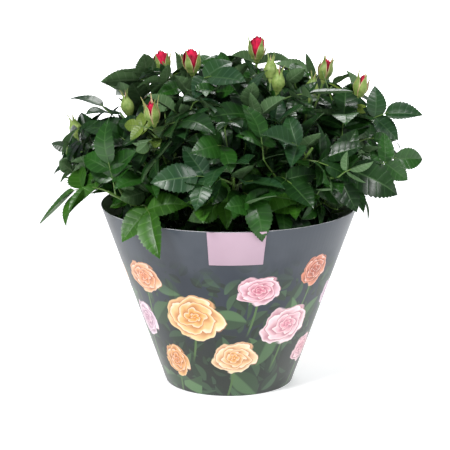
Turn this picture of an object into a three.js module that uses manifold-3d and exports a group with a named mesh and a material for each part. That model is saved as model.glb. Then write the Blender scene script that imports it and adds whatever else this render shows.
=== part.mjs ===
// A miniature rose bush in its nursery pot, standing inside a tapered card sleeve.
// Millimetres, +Z up. The origin is the centre of the pot's flat underside, and -Y is the front, where the
// label is.
import * as THREE from "three";
import { mergeVertices } from "three/addons/utils/BufferGeometryUtils.js";
import Module from "manifold-3d";

const wasm = await Module();
wasm.setup();

// ---------------------------------------------------------------- driving dimensions

const CLEARANCE = 0.3; // kept between neighbouring solids

const SLEEVE = { footRadius: 64, rimRadius: 128, height: 182, wall: 0.8, sides: 48 };
const LABEL = { width: 57, height: 35, thickness: 0.6, standOff: 0.45, centreX: 7, steps: 10 };
const POT = {
  footRadius: 62.7, // the sleeve closes round it
  shoulderRadius: 81,
  rimRadius: 85,
  height: 126,
  rimHeight: 14,
  wall: 1.6,
  floor: 2.5,
  sides: 30,
};
const SOIL_BELOW_RIM = 10;
const SOIL_LEVEL = POT.height - SOIL_BELOW_RIM;

// Five rooted cuttings share the pot, each a short woody stock that its canes spring from.
const STOCK = { height: 13, footRadius: 9.5, neckRadius: 7, topRadius: 8.4, sides: 10 };
const STOCKS = ["left", "front", "right", "back_right", "back_left"];
const STOCK_REACH = 0.4; // how far out a stock stands, as a share of its shoots' mean reach
const CANE = { footRadius: 2, endRadius: 1.7, sides: 6, steps: 3 };
const CANE_FAN = 0.12; // how far apart canes stand on their stock, as a share of how far apart their tips are
const MASS_STARTS = 0.26; // share of a shoot's length that is bare cane
const STEM = { footRadius: 1.6, tipRadius: 1.1, sides: 4, steps: 4 };
const UPRIGHT = 1.6; // how much a flowering shoot bends up under its bud

// A rose leaf of five leaflets at full size: lengths along its stalk, then its leaflets.
const LEAF = {
  petiole: 20,
  pairSpacing: 14,
  endSpacing: 12,
  stalkRadius: 1.1,
  stalkTipRadius: 0.8,
  stalkDroop: 0.26, // how far the stalk's end sinks, as a share of its length
  endLeaflet: 45,
  sideLeaflet: 38,
  innerShrink: 0.86, // the pair nearer the shoot is smaller
  sideAngle: 1.1, // radians between the stalk and a side leaflet
  widthShare: 0.62,
  widestAt: 0.42,
  thickness: 1.2,
  endRoot: 2.5, // how far the end leaflet's root is sunk in the stalk's end
  tipDroop: 0.12,
  edgeLift: 0.1,
  leanOut: 1.2, // how much the leaves at the bush's side turn away from its middle
  leanAside: 0.88, // and how much each leaf turns a way of its own
};

const STALK_SIDES = 3;
const STALK_STEPS = 2;

const BUD_SIDES = 6;
const BUDS = {
  open: { length: 28, radius: 8 },
  half: { length: 26, radius: 6.8 },
  closed: { length: 22, radius: 5.4 },
};
const SIDE_TWIG = { from: 0.72, sag: 6, radius: 1.1, sides: 3, steps: 2 };

// Each shoot's tip, from which its mass is named, and what flower stands on it.
const SHOOTS = [
  { name: "top", stock: "front", tip: [27, 0, 328], bud: "open" },
  { name: "top_left", stock: "left", tip: [-36, -30, 320], bud: "open" },
  { name: "high_left", stock: "back_left", tip: [-66, 30, 309], bud: "open" },
  { name: "high_right", stock: "back_right", tip: [95, 40, 301], bud: "half" },
  { name: "shoulder_right", stock: "right", tip: [128, 0, 291], bud: "half" },
  { name: "front_left", stock: "left", tip: [-72, -80, 279], bud: "half" },
  { name: "upper_left", stock: "left", tip: [-98, -20, 276], bud: "closed" },
  { name: "shoulder_left", stock: "back_left", tip: [-149, -8, 251], bud: "closed" },
  { name: "front_high", stock: "front", tip: [46, -56, 306], bud: "closed", sideBud: [40, -22, 312] },
  { name: "middle_right", stock: "right", tip: [80, -4, 291], bud: "closed" },
  { name: "front_right", stock: "front", tip: [78, -104, 258] },
  { name: "front_low", stock: "front", tip: [4, -118, 232] },
  { name: "low_left", stock: "left", tip: [-116, -86, 212] },
  { name: "low_right", stock: "right", tip: [128, -70, 222] },
  { name: "far_right", stock: "right", tip: [142, 44, 246] },
  { name: "back_left", stock: "back_left", tip: [-112, 72, 260] },
  { name: "back_high", stock: "back_right", tip: [-22, 92, 280] },
  { name: "back_right", stock: "back_right", tip: [62, 112, 266] },
  { name: "back_low_left", stock: "back_left", tip: [-72, 136, 222] },
  { name: "back_low_right", stock: "back_right", tip: [96, 132, 216] },
];
const LEAVES_PER_SHOOT = 5;
const FIRST_LEAF = 0.36;
const LAST_LEAF = 0.92;
const LEAF_TURN = THREE.MathUtils.degToRad(137.5); // from one leaf round the shoot to the next
const LEAF_SPREAD = 1.05; // radians between shoot and stalk
const LEAF_OUTWARD = 0.2; // how much a leaf turns away from the bush's middle
const TURNS = [0, 0.4, -0.4, 0.8, -0.8, 1.3, -1.3, 1.9, -1.9]; // further turns that a leaf is tried at
const SIZES = [1, 0.88, 0.76, 0.64]; // and its sizes

// The leaves that make the bush's furthest points: where on the shoot they start, their own tips, for those
// that hang over the sleeve's rim how high their stalk arches as a share of the way, and where their faces lean.
const FORWARD = [0, -2.6];
const REACHING_LEAVES = [
  { shoot: "shoulder_right", from: 0.74, tip: [195, -22, 276], lean: FORWARD },
  { shoot: "low_right", from: 0.92, tip: [196, -34, 236], lean: FORWARD },
  { shoot: "front_right", from: 0.7, tip: [168, -84, 214], lean: FORWARD },
  { shoot: "low_right", from: 0.6, tip: [150, -30, 176], arch: 0.4 },
  { shoot: "shoulder_left", from: 0.86, tip: [-183, -8, 244], arch: 0.04, lean: FORWARD },
  { shoot: "shoulder_left", from: 0.74, tip: [-182, 4, 216] },
  { shoot: "low_left", from: 0.94, tip: [-186, -56, 172], arch: 0.24 },
  { shoot: "upper_left", from: 0.8, tip: [-160, 10, 303], arch: 0.05, lean: [1, 0] },
  { shoot: "low_left", from: 0.7, tip: [-66, -140, 160], arch: 0.24 },
  { shoot: "front_low", from: 0.74, tip: [38, -140, 180], arch: 0.3 },
  { shoot: "back_low_left", from: 0.9, tip: [-116, 146, 190] },
  { shoot: "back_low_right", from: 0.9, tip: [146, 128, 194] },
  { shoot: "far_right", from: 0.9, tip: [186, 62, 232] },
];
const REACH = { arch: 0.13, stalkShare: 0.55, bendShare: 0.26, twoPairsFrom: 62 };

// The dome that the other leaves keep inside. Its underside rises outwards from a little above the rim.
const CROWN = { centreZ: 200, radii: [178, 165, 134], roundness: 2.5, lowest: 148 };
const UNDERSIDE = { rimLift: 7, slope: 0.4 };
const CROWN_HEART = new THREE.Vector3(0, 0, 115);
const SEED = 7;
const SHARED_DEPTH = 30; // how far past the middle between two shoots a leaf may reach
const LEAF_GAP = 6.2; // between the sample points of leaves on different shoots
const OWN_LEAF_GAP = 4; // and on the same shoot
const LIMB_GAP = 5; // from a leaf's sample points to the middle of a cane or a stem
const BUD_GAP = 6; // and to the side of a bud
const SLEEVE_GAP = 4;

// Where limbs, buds, stalks and blades are sampled when a leaf's place is tested, as shares of their length.
const LIMB_SAMPLES = 24;
const BUD_SAMPLES = [0.3, 0.5, 0.7, 0.9];
const STALK_SAMPLES = [0.15, 0.3, 0.45, 0.6, 0.75, 0.9];
const BLADE_SAMPLES = [0.16, 0.3, 0.42, 0.6, 0.8];

const UP = new THREE.Vector3(0, 0, 1);

// ---------------------------------------------------------------- materials

const finish = (color, roughness) =>
  new THREE.MeshStandardMaterial({ color, roughness, metalness: 0, flatShading: true });
const CARD = finish(0x4d5a5c, 0.35);
const LABEL_CARD = finish(0xe7c3d9, 0.45);
const POT_PLASTIC = finish(0x23211f, 0.5);
const COMPOST = finish(0x2c2019, 0.95);
const OLD_WOOD = finish(0x6a5636, 0.8);
const GREEN_WOOD = finish(0x6d8a3c, 0.55);
const FOLIAGE = finish(0x1f5a2a, 0.4);

// ---------------------------------------------------------------- seeded numbers

// A small generator that gives the same numbers from 0 to 1 for the same seed.
function seeded(seed) {
  let state = seed >>> 0;
  return () => {
    state = (state + 0x6d2b79f5) >>> 0;
    let t = state;
    t = Math.imul(t ^ (t >>> 15), t | 1);
    t ^= t + Math.imul(t ^ (t >>> 7), t | 61);
    return ((t ^ (t >>> 14)) >>> 0) / 4294967296;
  };
}

// ---------------------------------------------------------------- solids

function solidFrom(geometry) {
  const bare = geometry.clone();
  bare.deleteAttribute("normal");
  bare.deleteAttribute("uv");
  const merged = mergeVertices(bare, 1e-4);
  return new wasm.Manifold(
    new wasm.Mesh({
      numProp: 3,
      vertProperties: new Float32Array(merged.attributes.position.array),
      triVerts: new Uint32Array(merged.index.array),
    }),
  );
}

function geometryFrom(solid) {
  const mesh = solid.getMesh();
  return new THREE.BufferGeometry()
    .setAttribute("position", new THREE.BufferAttribute(mesh.vertProperties, 3))
    .setIndex(new THREE.BufferAttribute(mesh.triVerts, 1));
}

// Joins overlapping geometries into one closed body.
function fuse(geometries) {
  return geometryFrom(wasm.Manifold.union(geometries.map(solidFrom)));
}

// Moves each corner of a geometry to where place(x, y, z) says.
function reshaped(geometry, place) {
  const corners = geometry.attributes.position;
  const corner = new THREE.Vector3();
  for (let i = 0; i < corners.count; i++) {
    corner.fromBufferAttribute(corners, i);
    corners.setXYZ(i, ...place(corner.x, corner.y, corner.z).toArray());
  }
  return geometry;
}

// A tapering round limb along a stretch of a curve, cut square at both ends.
function limb(curve, from, to, footRadius, endRadius, sides, steps) {
  const chord = curve.getPoint(to).sub(curve.getPoint(from)).normalize();
  const aside = Math.abs(chord.y) < 0.8 ? new THREE.Vector3(0, 1, 0) : new THREE.Vector3(1, 0, 0);
  return reshaped(new THREE.CylinderGeometry(1, 1, 1, sides, steps), (x, y, z) => {
    const share = y + 0.5;
    const along = THREE.MathUtils.lerp(from, to, share);
    const tangent = curve.getTangent(along);
    const right = aside.clone().addScaledVector(tangent, -aside.dot(tangent)).normalize();
    const front = right.clone().cross(tangent);
    const radius = THREE.MathUtils.lerp(footRadius, endRadius, share);
    return curve.getPoint(along).addScaledVector(right, x * radius).addScaledVector(front, z * radius);
  });
}

function turnedProfile(points, sides) {
  const geometry = new THREE.LatheGeometry(
    points.map(([radius, height]) => new THREE.Vector2(radius, height)),
    sides,
  );
  return geometry.rotateX(Math.PI / 2);
}

// ---------------------------------------------------------------- sleeve, label, pot and compost

const sleeveSlope = (SLEEVE.rimRadius - SLEEVE.footRadius) / SLEEVE.height;
const sleeveRadius = (z) => SLEEVE.footRadius + sleeveSlope * z;

function makeSleeve() {
  const across = SLEEVE.wall * Math.hypot(1, sleeveSlope); // the wall's thickness, measured level
  const profile = [
    [SLEEVE.footRadius - across, 0],
    [SLEEVE.footRadius, 0],
    [SLEEVE.rimRadius, SLEEVE.height],
    [SLEEVE.rimRadius - across, SLEEVE.height],
    [SLEEVE.footRadius - across, 0],
  ];
  return turnedProfile(profile, SLEEVE.sides);
}

// A plate that follows the sleeve's front, its upper edge level with the rim.
function makeLabel() {
  const halfAngle = LABEL.width / 2 / SLEEVE.rimRadius;
  const turn = Math.asin(LABEL.centreX / SLEEVE.rimRadius);
  const plate = new THREE.BoxGeometry(1, 1, 1, LABEL.steps, 1, 1);
  return reshaped(plate, (x, y, z) => {
    const height = SLEEVE.height + (z - 0.5) * LABEL.height;
    const angle = turn + x * 2 * halfAngle;
    const radius = sleeveRadius(height) + LABEL.standOff + (0.5 - y) * LABEL.thickness;
    return new THREE.Vector3(radius * Math.sin(angle), -radius * Math.cos(angle), height);
  });
}

function potInnerRadius(z) {
  const rise = THREE.MathUtils.clamp(z / (POT.height - POT.rimHeight), 0, 1);
  return THREE.MathUtils.lerp(POT.footRadius, POT.shoulderRadius, rise) - POT.wall;
}

function makePot() {
  const shoulder = POT.height - POT.rimHeight;
  const profile = [
    [0, 0],
    [POT.footRadius, 0],
    [POT.shoulderRadius, shoulder],
    [POT.rimRadius, shoulder],
    [POT.rimRadius, POT.height],
    [POT.rimRadius - POT.wall, POT.height],
    [POT.rimRadius - POT.wall - 1, shoulder + 2],
    [potInnerRadius(shoulder), shoulder],
    [potInnerRadius(POT.floor), POT.floor],
    [0, POT.floor],
  ];
  return turnedProfile(profile, POT.sides);
}

function makeSoil() {
  const shoulder = POT.height - POT.rimHeight;
  const bottom = POT.floor + CLEARANCE;
  const profile = [
    [0, bottom],
    [potInnerRadius(bottom) - CLEARANCE, bottom],
    [potInnerRadius(shoulder) - CLEARANCE, shoulder],
    [potInnerRadius(shoulder) - CLEARANCE, SOIL_LEVEL],
    [0, SOIL_LEVEL],
  ];
  return turnedProfile(profile, POT.sides);
}

// ---------------------------------------------------------------- stocks and shoots

const STOCK_FOOT = SOIL_LEVEL + CLEARANCE;
const STOCK_TOP = STOCK_FOOT + STOCK.height;

// A stump that flares at the ground and again at its cut top.
function makeStock() {
  const profile = [
    [0, STOCK_FOOT],
    [STOCK.footRadius, STOCK_FOOT],
    [STOCK.neckRadius, STOCK_FOOT + STOCK.height * 0.45],
    [STOCK.topRadius, STOCK_TOP],
    [0, STOCK_TOP],
  ];
  return turnedProfile(profile, STOCK.sides);
}

// The middle of the tips of a stock's shoots, seen from above.
function meanTip(stock) {
  const own = SHOOTS.filter((shoot) => shoot.stock === stock);
  return [0, 1].map((axis) => own.reduce((sum, shoot) => sum + shoot.tip[axis], 0) / own.length);
}

const stockPlace = (stock) => meanTip(stock).map((reach) => reach * STOCK_REACH);

// The canes of a stock stand on its top in the same order as their tips, so that none crosses another.
function shootCurve(shoot) {
  const mean = meanTip(shoot.stock);
  const footAt = stockPlace(shoot.stock).map((at, axis) => at + CANE_FAN * (shoot.tip[axis] - mean[axis]));
  const foot = new THREE.Vector3(...footAt, STOCK_TOP + CLEARANCE);
  const tip = new THREE.Vector3(...shoot.tip);
  const leaving = tip.clone().sub(CROWN_HEART).normalize();
  if (shoot.bud) leaving.addScaledVector(UP, UPRIGHT).normalize();
  const length = foot.distanceTo(tip);
  return new THREE.CubicBezierCurve3(
    foot,
    foot.clone().addScaledVector(UP, 0.3 * length),
    tip.clone().addScaledVector(leaving, -0.32 * length),
    tip,
  );
}

const curves = new Map(SHOOTS.map((shoot) => [shoot.name, shootCurve(shoot)]));

function makeCane(shoot) {
  const curve = curves.get(shoot.name);
  const cutBack = CLEARANCE / curve.getLength();
  return limb(curve, 0, MASS_STARTS - cutBack, CANE.footRadius, CANE.endRadius, CANE.sides, CANE.steps);
}

// ---------------------------------------------------------------- buds

function budSolid(at, direction, kind) {
  const { length, radius } = BUDS[kind];
  const outline = [
    [0, -2],
    [0.4 * radius, 0],
    [0.95 * radius, 0.24 * length],
    [radius, 0.42 * length],
    [0.62 * radius, 0.78 * length],
    [0, length],
  ];
  const turn = new THREE.Quaternion().setFromUnitVectors(UP, direction);
  return turnedProfile(outline, BUD_SIDES).applyQuaternion(turn).translate(...at.toArray());
}

// The twig that carries a shoot's second bud.
function sideTwig({ name, sideBud }) {
  const from = curves.get(name).getPoint(SIDE_TWIG.from);
  const to = new THREE.Vector3(...sideBud);
  const middle = from.clone().lerp(to, 0.5).addScaledVector(UP, -SIDE_TWIG.sag);
  return new THREE.QuadraticBezierCurve3(from, middle, to);
}

// Each bud of a shoot: what it stands on, and its kind.
function budsOf(shoot) {
  const buds = [];
  if (shoot.bud) buds.push({ carrier: curves.get(shoot.name), kind: shoot.bud });
  if (shoot.sideBud) buds.push({ carrier: sideTwig(shoot), kind: "closed" });
  return buds;
}

// ---------------------------------------------------------------- the space that each mass keeps to

function samples(curve, from, to, count) {
  const shares = Array.from({ length: count }, (_, i) => i / (count - 1));
  return shares.map((share) => curve.getPoint(THREE.MathUtils.lerp(from, to, share)));
}

const stemPoints = new Map(
  SHOOTS.map(({ name }) => [name, samples(curves.get(name), MASS_STARTS, 1, LIMB_SAMPLES)]),
);

// Everything that a new leaf keeps clear of: by `gap`, or by `ownGap` if it grows on the same shoot.
const placed = [];

function place(owner, points, gap, ownGap) {
  const around = new THREE.Box3().setFromPoints(points).expandByScalar(gap);
  placed.push({ owner, points, gap, ownGap, around });
}

function placeLimbsAndBuds() {
  SHOOTS.forEach((shoot) => {
    const curve = curves.get(shoot.name);
    place(shoot.name, samples(curve, 0, MASS_STARTS, LIMB_SAMPLES), LIMB_GAP, LIMB_GAP);
    place(shoot.name, stemPoints.get(shoot.name), LIMB_GAP, 0);
    if (shoot.sideBud) place(shoot.name, samples(sideTwig(shoot), 0, 1, LIMB_SAMPLES), LIMB_GAP, 0);
    budsOf(shoot).forEach(({ carrier, kind }) => {
      const { length, radius } = BUDS[kind];
      const heights = BUD_SAMPLES.map((share) => share * length);
      const points = heights.map((up) => carrier.getPoint(1).addScaledVector(carrier.getTangent(1), up));
      place(shoot.name, points, radius + BUD_GAP, radius);
    });
  });
}

function clearOfPlaced(points, name) {
  return placed.every(({ owner, points: theirs, gap, ownGap, around }) => {
    const needed = owner === name ? ownGap : gap;
    if (needed === 0) return true;
    const near = points.filter((point) => around.containsPoint(point));
    return near.every((point) => theirs.every((other) => other.distanceTo(point) > needed));
  });
}

function nearOwnShoot(point, name) {
  const nearest = (points) => Math.min(...points.map((stem) => stem.distanceTo(point)));
  const own = nearest(stemPoints.get(name));
  return [...stemPoints].every(([other, points]) => other === name || own < nearest(points) + SHARED_DEPTH);
}

// Below the rim a leaf hangs wholly inside the sleeve or wholly outside it.
function clearOfSleeve(points) {
  const depths = points
    .filter(({ z }) => z < SLEEVE.height + SLEEVE_GAP)
    .map(({ x, y, z }) => sleeveRadius(Math.min(z, SLEEVE.height)) - Math.hypot(x, y));
  return depths.every((depth) => depth > SLEEVE_GAP) || depths.every((depth) => depth < -SLEEVE_GAP);
}

function insideDome(point) {
  const [rx, ry, rz] = CROWN.radii;
  const level = Math.hypot(point.x / rx, point.y / ry);
  const rise = Math.max(0, point.z - CROWN.centreZ) / rz;
  const pastRim = Math.hypot(point.x, point.y) - SLEEVE.rimRadius;
  const overRim = SLEEVE.height + UNDERSIDE.rimLift + UNDERSIDE.slope * pastRim;
  const inDome = level ** CROWN.roundness + rise ** CROWN.roundness < 1;
  return inDome && point.z > (pastRim < 0 ? CROWN.lowest : overRim);
}

// ---------------------------------------------------------------- leaves

// The direction that a leaflet's upper face turns to: up, away from the bush's middle at its side, and by the
// leaf's own lean.
function facing(point, direction, lean) {
  const outward = new THREE.Vector3(point.x, point.y, 0).divideScalar(CROWN.radii[0]);
  const wanted = UP.clone().addScaledVector(outward, LEAF.leanOut).add(lean);
  return wanted.addScaledVector(direction, -wanted.dot(direction)).normalize();
}

// How far from its midrib a leaflet's edge lies, as a share of its greatest half width.
function edgeShare(along) {
  return along < LEAF.widestAt ? along / LEAF.widestAt : (1 - along) / (1 - LEAF.widestAt);
}

// The place on a leaflet at a share of its length and of its half width, raised above its middle face.
function onLeaflet({ at, direction, face, length }, along, across, raised) {
  const halfWidth = (length * LEAF.widthShare) / 2;
  const droop = Math.max(0, (along - LEAF.widestAt) / (1 - LEAF.widestAt)) * LEAF.tipDroop * length;
  return at
    .clone()
    .addScaledVector(direction, along * length)
    .addScaledVector(face.clone().cross(direction), across * halfWidth)
    .addScaledVector(face, 2 * Math.abs(across) * LEAF.edgeLift * halfWidth + raised - droop);
}

// A blade of eight faces with its edges lifted and its tip drooping.
function leafletSolid(leaflet) {
  return reshaped(new THREE.OctahedronGeometry(1), (x, y, z) => {
    const along = x === 0 ? LEAF.widestAt : (x + 1) / 2;
    return onLeaflet(leaflet, along, y, (z * LEAF.thickness) / 2);
  });
}

// The place at a share of a stalk's length, on the straight stretches that its solid has.
function onStalk(stalk, share) {
  const stretch = Math.min(Math.floor(share * STALK_STEPS), STALK_STEPS - 1);
  const from = stalk.getPoint(stretch / STALK_STEPS);
  return from.lerp(stalk.getPoint((stretch + 1) / STALK_STEPS), share * STALK_STEPS - stretch);
}

// The frame of a compound leaf: its stalk, and each leaflet's root, direction, face and length.
function leafFrame(stalk, ending, size, pairs, lean) {
  const whole = LEAF.petiole + LEAF.pairSpacing * (pairs - 1) + LEAF.endSpacing;
  const leaflets = [];
  const add = (at, direction, length) => {
    leaflets.push({ at, direction, face: facing(at, direction, lean), length });
  };
  for (let pair = 0; pair < pairs; pair++) {
    const share = (LEAF.petiole + LEAF.pairSpacing * pair) / whole;
    const joint = onStalk(stalk, share);
    const along = stalk.getTangent(share);
    const length = size * LEAF.sideLeaflet * (pair === pairs - 1 ? 1 : LEAF.innerShrink);
    for (const hand of [-1, 1]) {
      add(joint, along.clone().applyAxisAngle(facing(joint, along, lean), hand * LEAF.sideAngle), length);
    }
  }
  add(onStalk(stalk, 1 - LEAF.endRoot / (size * whole)), ending, size * LEAF.endLeaflet);
  return { stalk, leaflets };
}

function leafSolids({ stalk, leaflets }) {
  return [
    limb(stalk, 0, 1, LEAF.stalkRadius, LEAF.stalkTipRadius, STALK_SIDES, STALK_STEPS),
    ...leaflets.map(leafletSolid),
  ];
}

// Points all over a leaf, to test where it lies.
function leafPoints({ stalk, leaflets }) {
  const points = STALK_SAMPLES.map((share) => stalk.getPoint(share));
  for (const leaflet of leaflets) {
    for (const along of BLADE_SAMPLES) {
      for (const across of [-1, -0.5, 0, 0.5, 1]) {
        points.push(onLeaflet(leaflet, along, across * edgeShare(along), 0));
      }
    }
    points.push(onLeaflet(leaflet, 1, 0, 0));
  }
  return points;
}

function fits(points, name) {
  return clearOfSleeve(points) && clearOfPlaced(points, name);
}

// A stalk that leaves its shoot in one direction and sinks under the leaf's weight.
function spiralFrame(at, direction, size, pairs, lean) {
  const length = size * (LEAF.petiole + LEAF.pairSpacing * (pairs - 1) + LEAF.endSpacing);
  const middle = at.clone().addScaledVector(direction, length / 2);
  const end = at.clone().addScaledVector(direction, length).addScaledVector(UP, -LEAF.stalkDroop * length);
  const ending = end.clone().sub(middle).normalize();
  return leafFrame(new THREE.QuadraticBezierCurve3(at, middle, end), ending, size, pairs, lean);
}

// The leaf at one place on a shoot: of the tried sizes and turns, the first that keeps to its space, or null.
function spiralLeaf(name, along, turn, lean) {
  const curve = curves.get(name);
  const at = curve.getPoint(along);
  const tangent = curve.getTangent(along);
  const outward = at.clone().sub(CROWN_HEART).normalize();
  const ring = new THREE.Vector3(1, 0, 0).addScaledVector(tangent, -tangent.x).normalize();
  for (const size of SIZES) {
    for (const pairs of [2, 1]) {
      for (const further of TURNS) {
        const direction = tangent
          .clone()
          .multiplyScalar(Math.cos(LEAF_SPREAD))
          .addScaledVector(ring.clone().applyAxisAngle(tangent, turn + further), Math.sin(LEAF_SPREAD))
          .addScaledVector(outward, LEAF_OUTWARD)
          .normalize();
        const frame = spiralFrame(at, direction, size, pairs, lean);
        const points = leafPoints(frame);
        const inSpace = points.every((point) => insideDome(point) && nearOwnShoot(point, name));
        if (inSpace && fits(points, name)) return { frame, points };
      }
    }
  }
  return null;
}

// A leaf whose tip is given: its stalk arches over, and its end leaflet points down to the tip.
function reachingLeaf({ shoot, from, tip, arch = REACH.arch, lean = [0, 0] }) {
  const base = curves.get(shoot).getPoint(from);
  const end = new THREE.Vector3(...tip);
  const way = end.clone().sub(base);
  const rise = arch * way.length();
  const bend = base.clone().addScaledVector(way, REACH.bendShare).addScaledVector(UP, rise);
  const joint = base.clone().addScaledVector(way, REACH.stalkShare).addScaledVector(UP, rise);
  const ending = end.clone().sub(joint);
  const size = ending.length() / LEAF.endLeaflet;
  const pairs = way.length() > REACH.twoPairsFrom ? 2 : 1;
  const stalk = new THREE.QuadraticBezierCurve3(base, bend, joint);
  const frame = leafFrame(stalk, ending.normalize(), size, pairs, new THREE.Vector3(...lean, 0));
  const points = leafPoints(frame);
  return fits(points, shoot) ? { frame, points } : null;
}

// All leaves, shoot by shoot: those that reach furthest first, then a spiral of others in turns, so that the
// shoots share the space evenly.
function growLeaves() {
  const grown = new Map(SHOOTS.map(({ name }) => [name, []]));
  const keep = (name, leaf) => {
    if (!leaf) return;
    grown.get(name).push(leaf.frame);
    place(name, leaf.points, LEAF_GAP, OWN_LEAF_GAP);
  };
  REACHING_LEAVES.forEach((reaching) => keep(reaching.shoot, reachingLeaf(reaching)));
  const random = seeded(SEED);
  const firstTurns = SHOOTS.map(() => random() * 2 * Math.PI);
  for (let i = LEAVES_PER_SHOOT - 1; i >= 0; i--) {
    const along = THREE.MathUtils.lerp(FIRST_LEAF, LAST_LEAF, i / (LEAVES_PER_SHOOT - 1));
    SHOOTS.forEach(({ name }, j) => {
      const aside = random() * 2 * Math.PI;
      const lean = new THREE.Vector3(Math.cos(aside), Math.sin(aside), 0).multiplyScalar(LEAF.leanAside);
      keep(name, spiralLeaf(name, along, firstTurns[j] + i * LEAF_TURN, lean));
    });
  }
  return grown;
}

// ---------------------------------------------------------------- masses of foliage

function makeMass(shoot, frames) {
  const curve = curves.get(shoot.name);
  const solids = [limb(curve, MASS_STARTS, 1, STEM.footRadius, STEM.tipRadius, STEM.sides, STEM.steps)];
  if (shoot.sideBud) {
    const { radius, sides, steps } = SIDE_TWIG;
    solids.push(limb(sideTwig(shoot), 0, 1, radius, radius, sides, steps));
  }
  budsOf(shoot).forEach(({ carrier, kind }) => {
    solids.push(budSolid(carrier.getPoint(1), carrier.getTangent(1), kind));
  });
  frames.forEach((frame) => solids.push(...leafSolids(frame)));
  return fuse(solids);
}

// ---------------------------------------------------------------- assembly

function named(name, geometry, material) {
  const mesh = new THREE.Mesh(geometry, material);
  mesh.name = name;
  return mesh;
}

const container = new THREE.Group();
container.add(
  named("sleeve", makeSleeve(), CARD),
  named("label", makeLabel(), LABEL_CARD),
  named("pot", makePot(), POT_PLASTIC),
  named("soil", makeSoil(), COMPOST),
);

const plant = new THREE.Group();
STOCKS.forEach((name) => {
  const stock = named(`stock_${name}`, makeStock(), OLD_WOOD);
  stock.position.set(...stockPlace(name), 0);
  plant.add(stock);
});
placeLimbsAndBuds();
const leaves = growLeaves();
SHOOTS.forEach((shoot) => {
  plant.add(named(`cane_${shoot.name}`, makeCane(shoot), GREEN_WOOD));
  plant.add(named(`foliage_${shoot.name}`, makeMass(shoot, leaves.get(shoot.name)), FOLIAGE));
});

const roseBush = new THREE.Group();
roseBush.add(container, plant);

export default roseBush;
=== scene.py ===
"""The looks of a miniature rose bush in its nursery pot and printed card sleeve.

The growth rule works in millimetres, as the solids' source does. Meshes are in metres.
"""

import logging
import math
from dataclasses import dataclass, field
from enum import Enum
from typing import Any, Iterable, Sequence

import bpy
import numpy as np
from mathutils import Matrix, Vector


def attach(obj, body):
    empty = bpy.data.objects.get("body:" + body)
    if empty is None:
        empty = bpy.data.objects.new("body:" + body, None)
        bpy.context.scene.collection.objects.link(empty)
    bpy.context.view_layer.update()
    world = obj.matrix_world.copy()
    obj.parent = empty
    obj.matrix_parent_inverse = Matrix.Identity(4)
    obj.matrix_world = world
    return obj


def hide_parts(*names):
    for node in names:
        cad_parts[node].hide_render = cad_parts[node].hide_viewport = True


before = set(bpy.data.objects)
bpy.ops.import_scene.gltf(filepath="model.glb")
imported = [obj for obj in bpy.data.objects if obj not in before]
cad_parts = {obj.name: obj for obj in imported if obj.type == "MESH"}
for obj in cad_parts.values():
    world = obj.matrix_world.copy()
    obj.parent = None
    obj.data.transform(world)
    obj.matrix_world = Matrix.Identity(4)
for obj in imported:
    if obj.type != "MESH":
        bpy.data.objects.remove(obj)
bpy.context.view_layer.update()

LOG = logging.getLogger("rose_bush")
MM = 0.001
BODY = "root"
UP = np.array([0.0, 0.0, 1.0])
X_AXIS, Y_AXIS = np.array([1.0, 0.0, 0.0]), np.array([0.0, 1.0, 0.0])
WHOLE_TURN = 2 * math.pi


# ---- vectors, curves and seeded numbers


def unit(vector: np.ndarray) -> np.ndarray:
    """The vector at length 1."""
    return vector / np.linalg.norm(vector)


def turned(vector: np.ndarray, axis: np.ndarray, angle: float) -> np.ndarray:
    """Turns a vector about a unit axis.

    Args:
        vector: What is turned.
        axis: The unit axis.
        angle: Radians, by the right-hand rule.

    Returns:
        The turned vector.
    """
    across = np.cross(axis, vector)
    swung = vector * math.cos(angle) + across * math.sin(angle)
    return swung + axis * (axis @ vector) * (1 - math.cos(angle))


def square_to(direction: np.ndarray) -> np.ndarray:
    """The X axis, made square to a unit direction."""
    return unit(X_AXIS - direction * direction[0])


def well_aside(direction: np.ndarray) -> np.ndarray:
    """The Y axis, or the X axis where a unit direction lies too near to Y."""
    return Y_AXIS if abs(direction[1]) < 0.8 else X_AXIS


def mixed(low: float, high: float, share: float) -> float:
    """The value at a share of the way from low to high."""
    return low + (high - low) * share


@dataclass(frozen=True)
class Bezier:
    """A Bezier curve of three or four corners."""

    corners: tuple[np.ndarray, ...]

    def point(self, share: float) -> np.ndarray:
        """The point at a share of the curve.

        Args:
            share: From 0 at its start to 1 at its end.

        Returns:
            The point.
        """
        t, k, c = share, 1 - share, self.corners
        if len(c) == 3:
            return k * k * c[0] + 2 * k * t * c[1] + t * t * c[2]
        return k**3 * c[0] + 3 * k * k * t * c[1] + 3 * k * t * t * c[2] + t**3 * c[3]

    def tangent(self, share: float) -> np.ndarray:
        """The unit direction at a share of the curve."""
        step = 0.0001
        return unit(self.point(min(1.0, share + step)) - self.point(max(0.0, share - step)))

    def samples(self, start: float, end: float, count: int) -> np.ndarray:
        """Evenly spaced points from one share of the curve to another."""
        return np.array([self.point(mixed(start, end, i / (count - 1))) for i in range(count)])


class Seeded:
    """A small generator that gives the same numbers from 0 to 1 for the same seed."""

    STRIDE, WORD = 0x6D2B79F5, 0xFFFFFFFF

    def __init__(self, seed: int) -> None:
        """Starts from a whole number."""
        self.state = seed & self.WORD

    def next(self) -> float:
        """The next number.

        Returns:
            A number from 0 up to but not including 1.
        """
        self.state = (self.state + self.STRIDE) & self.WORD
        t = self.state
        t = ((t ^ (t >> 15)) * (t | 1)) & self.WORD
        t ^= (t + (t ^ (t >> 7)) * (t | 61)) & self.WORD
        return ((t ^ (t >> 14)) & self.WORD) / (self.WORD + 1)

    def around(self, spread: float) -> float:
        """A number between minus and plus the spread."""
        return (2 * self.next() - 1) * spread


# ---- the plant's sizes


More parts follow.
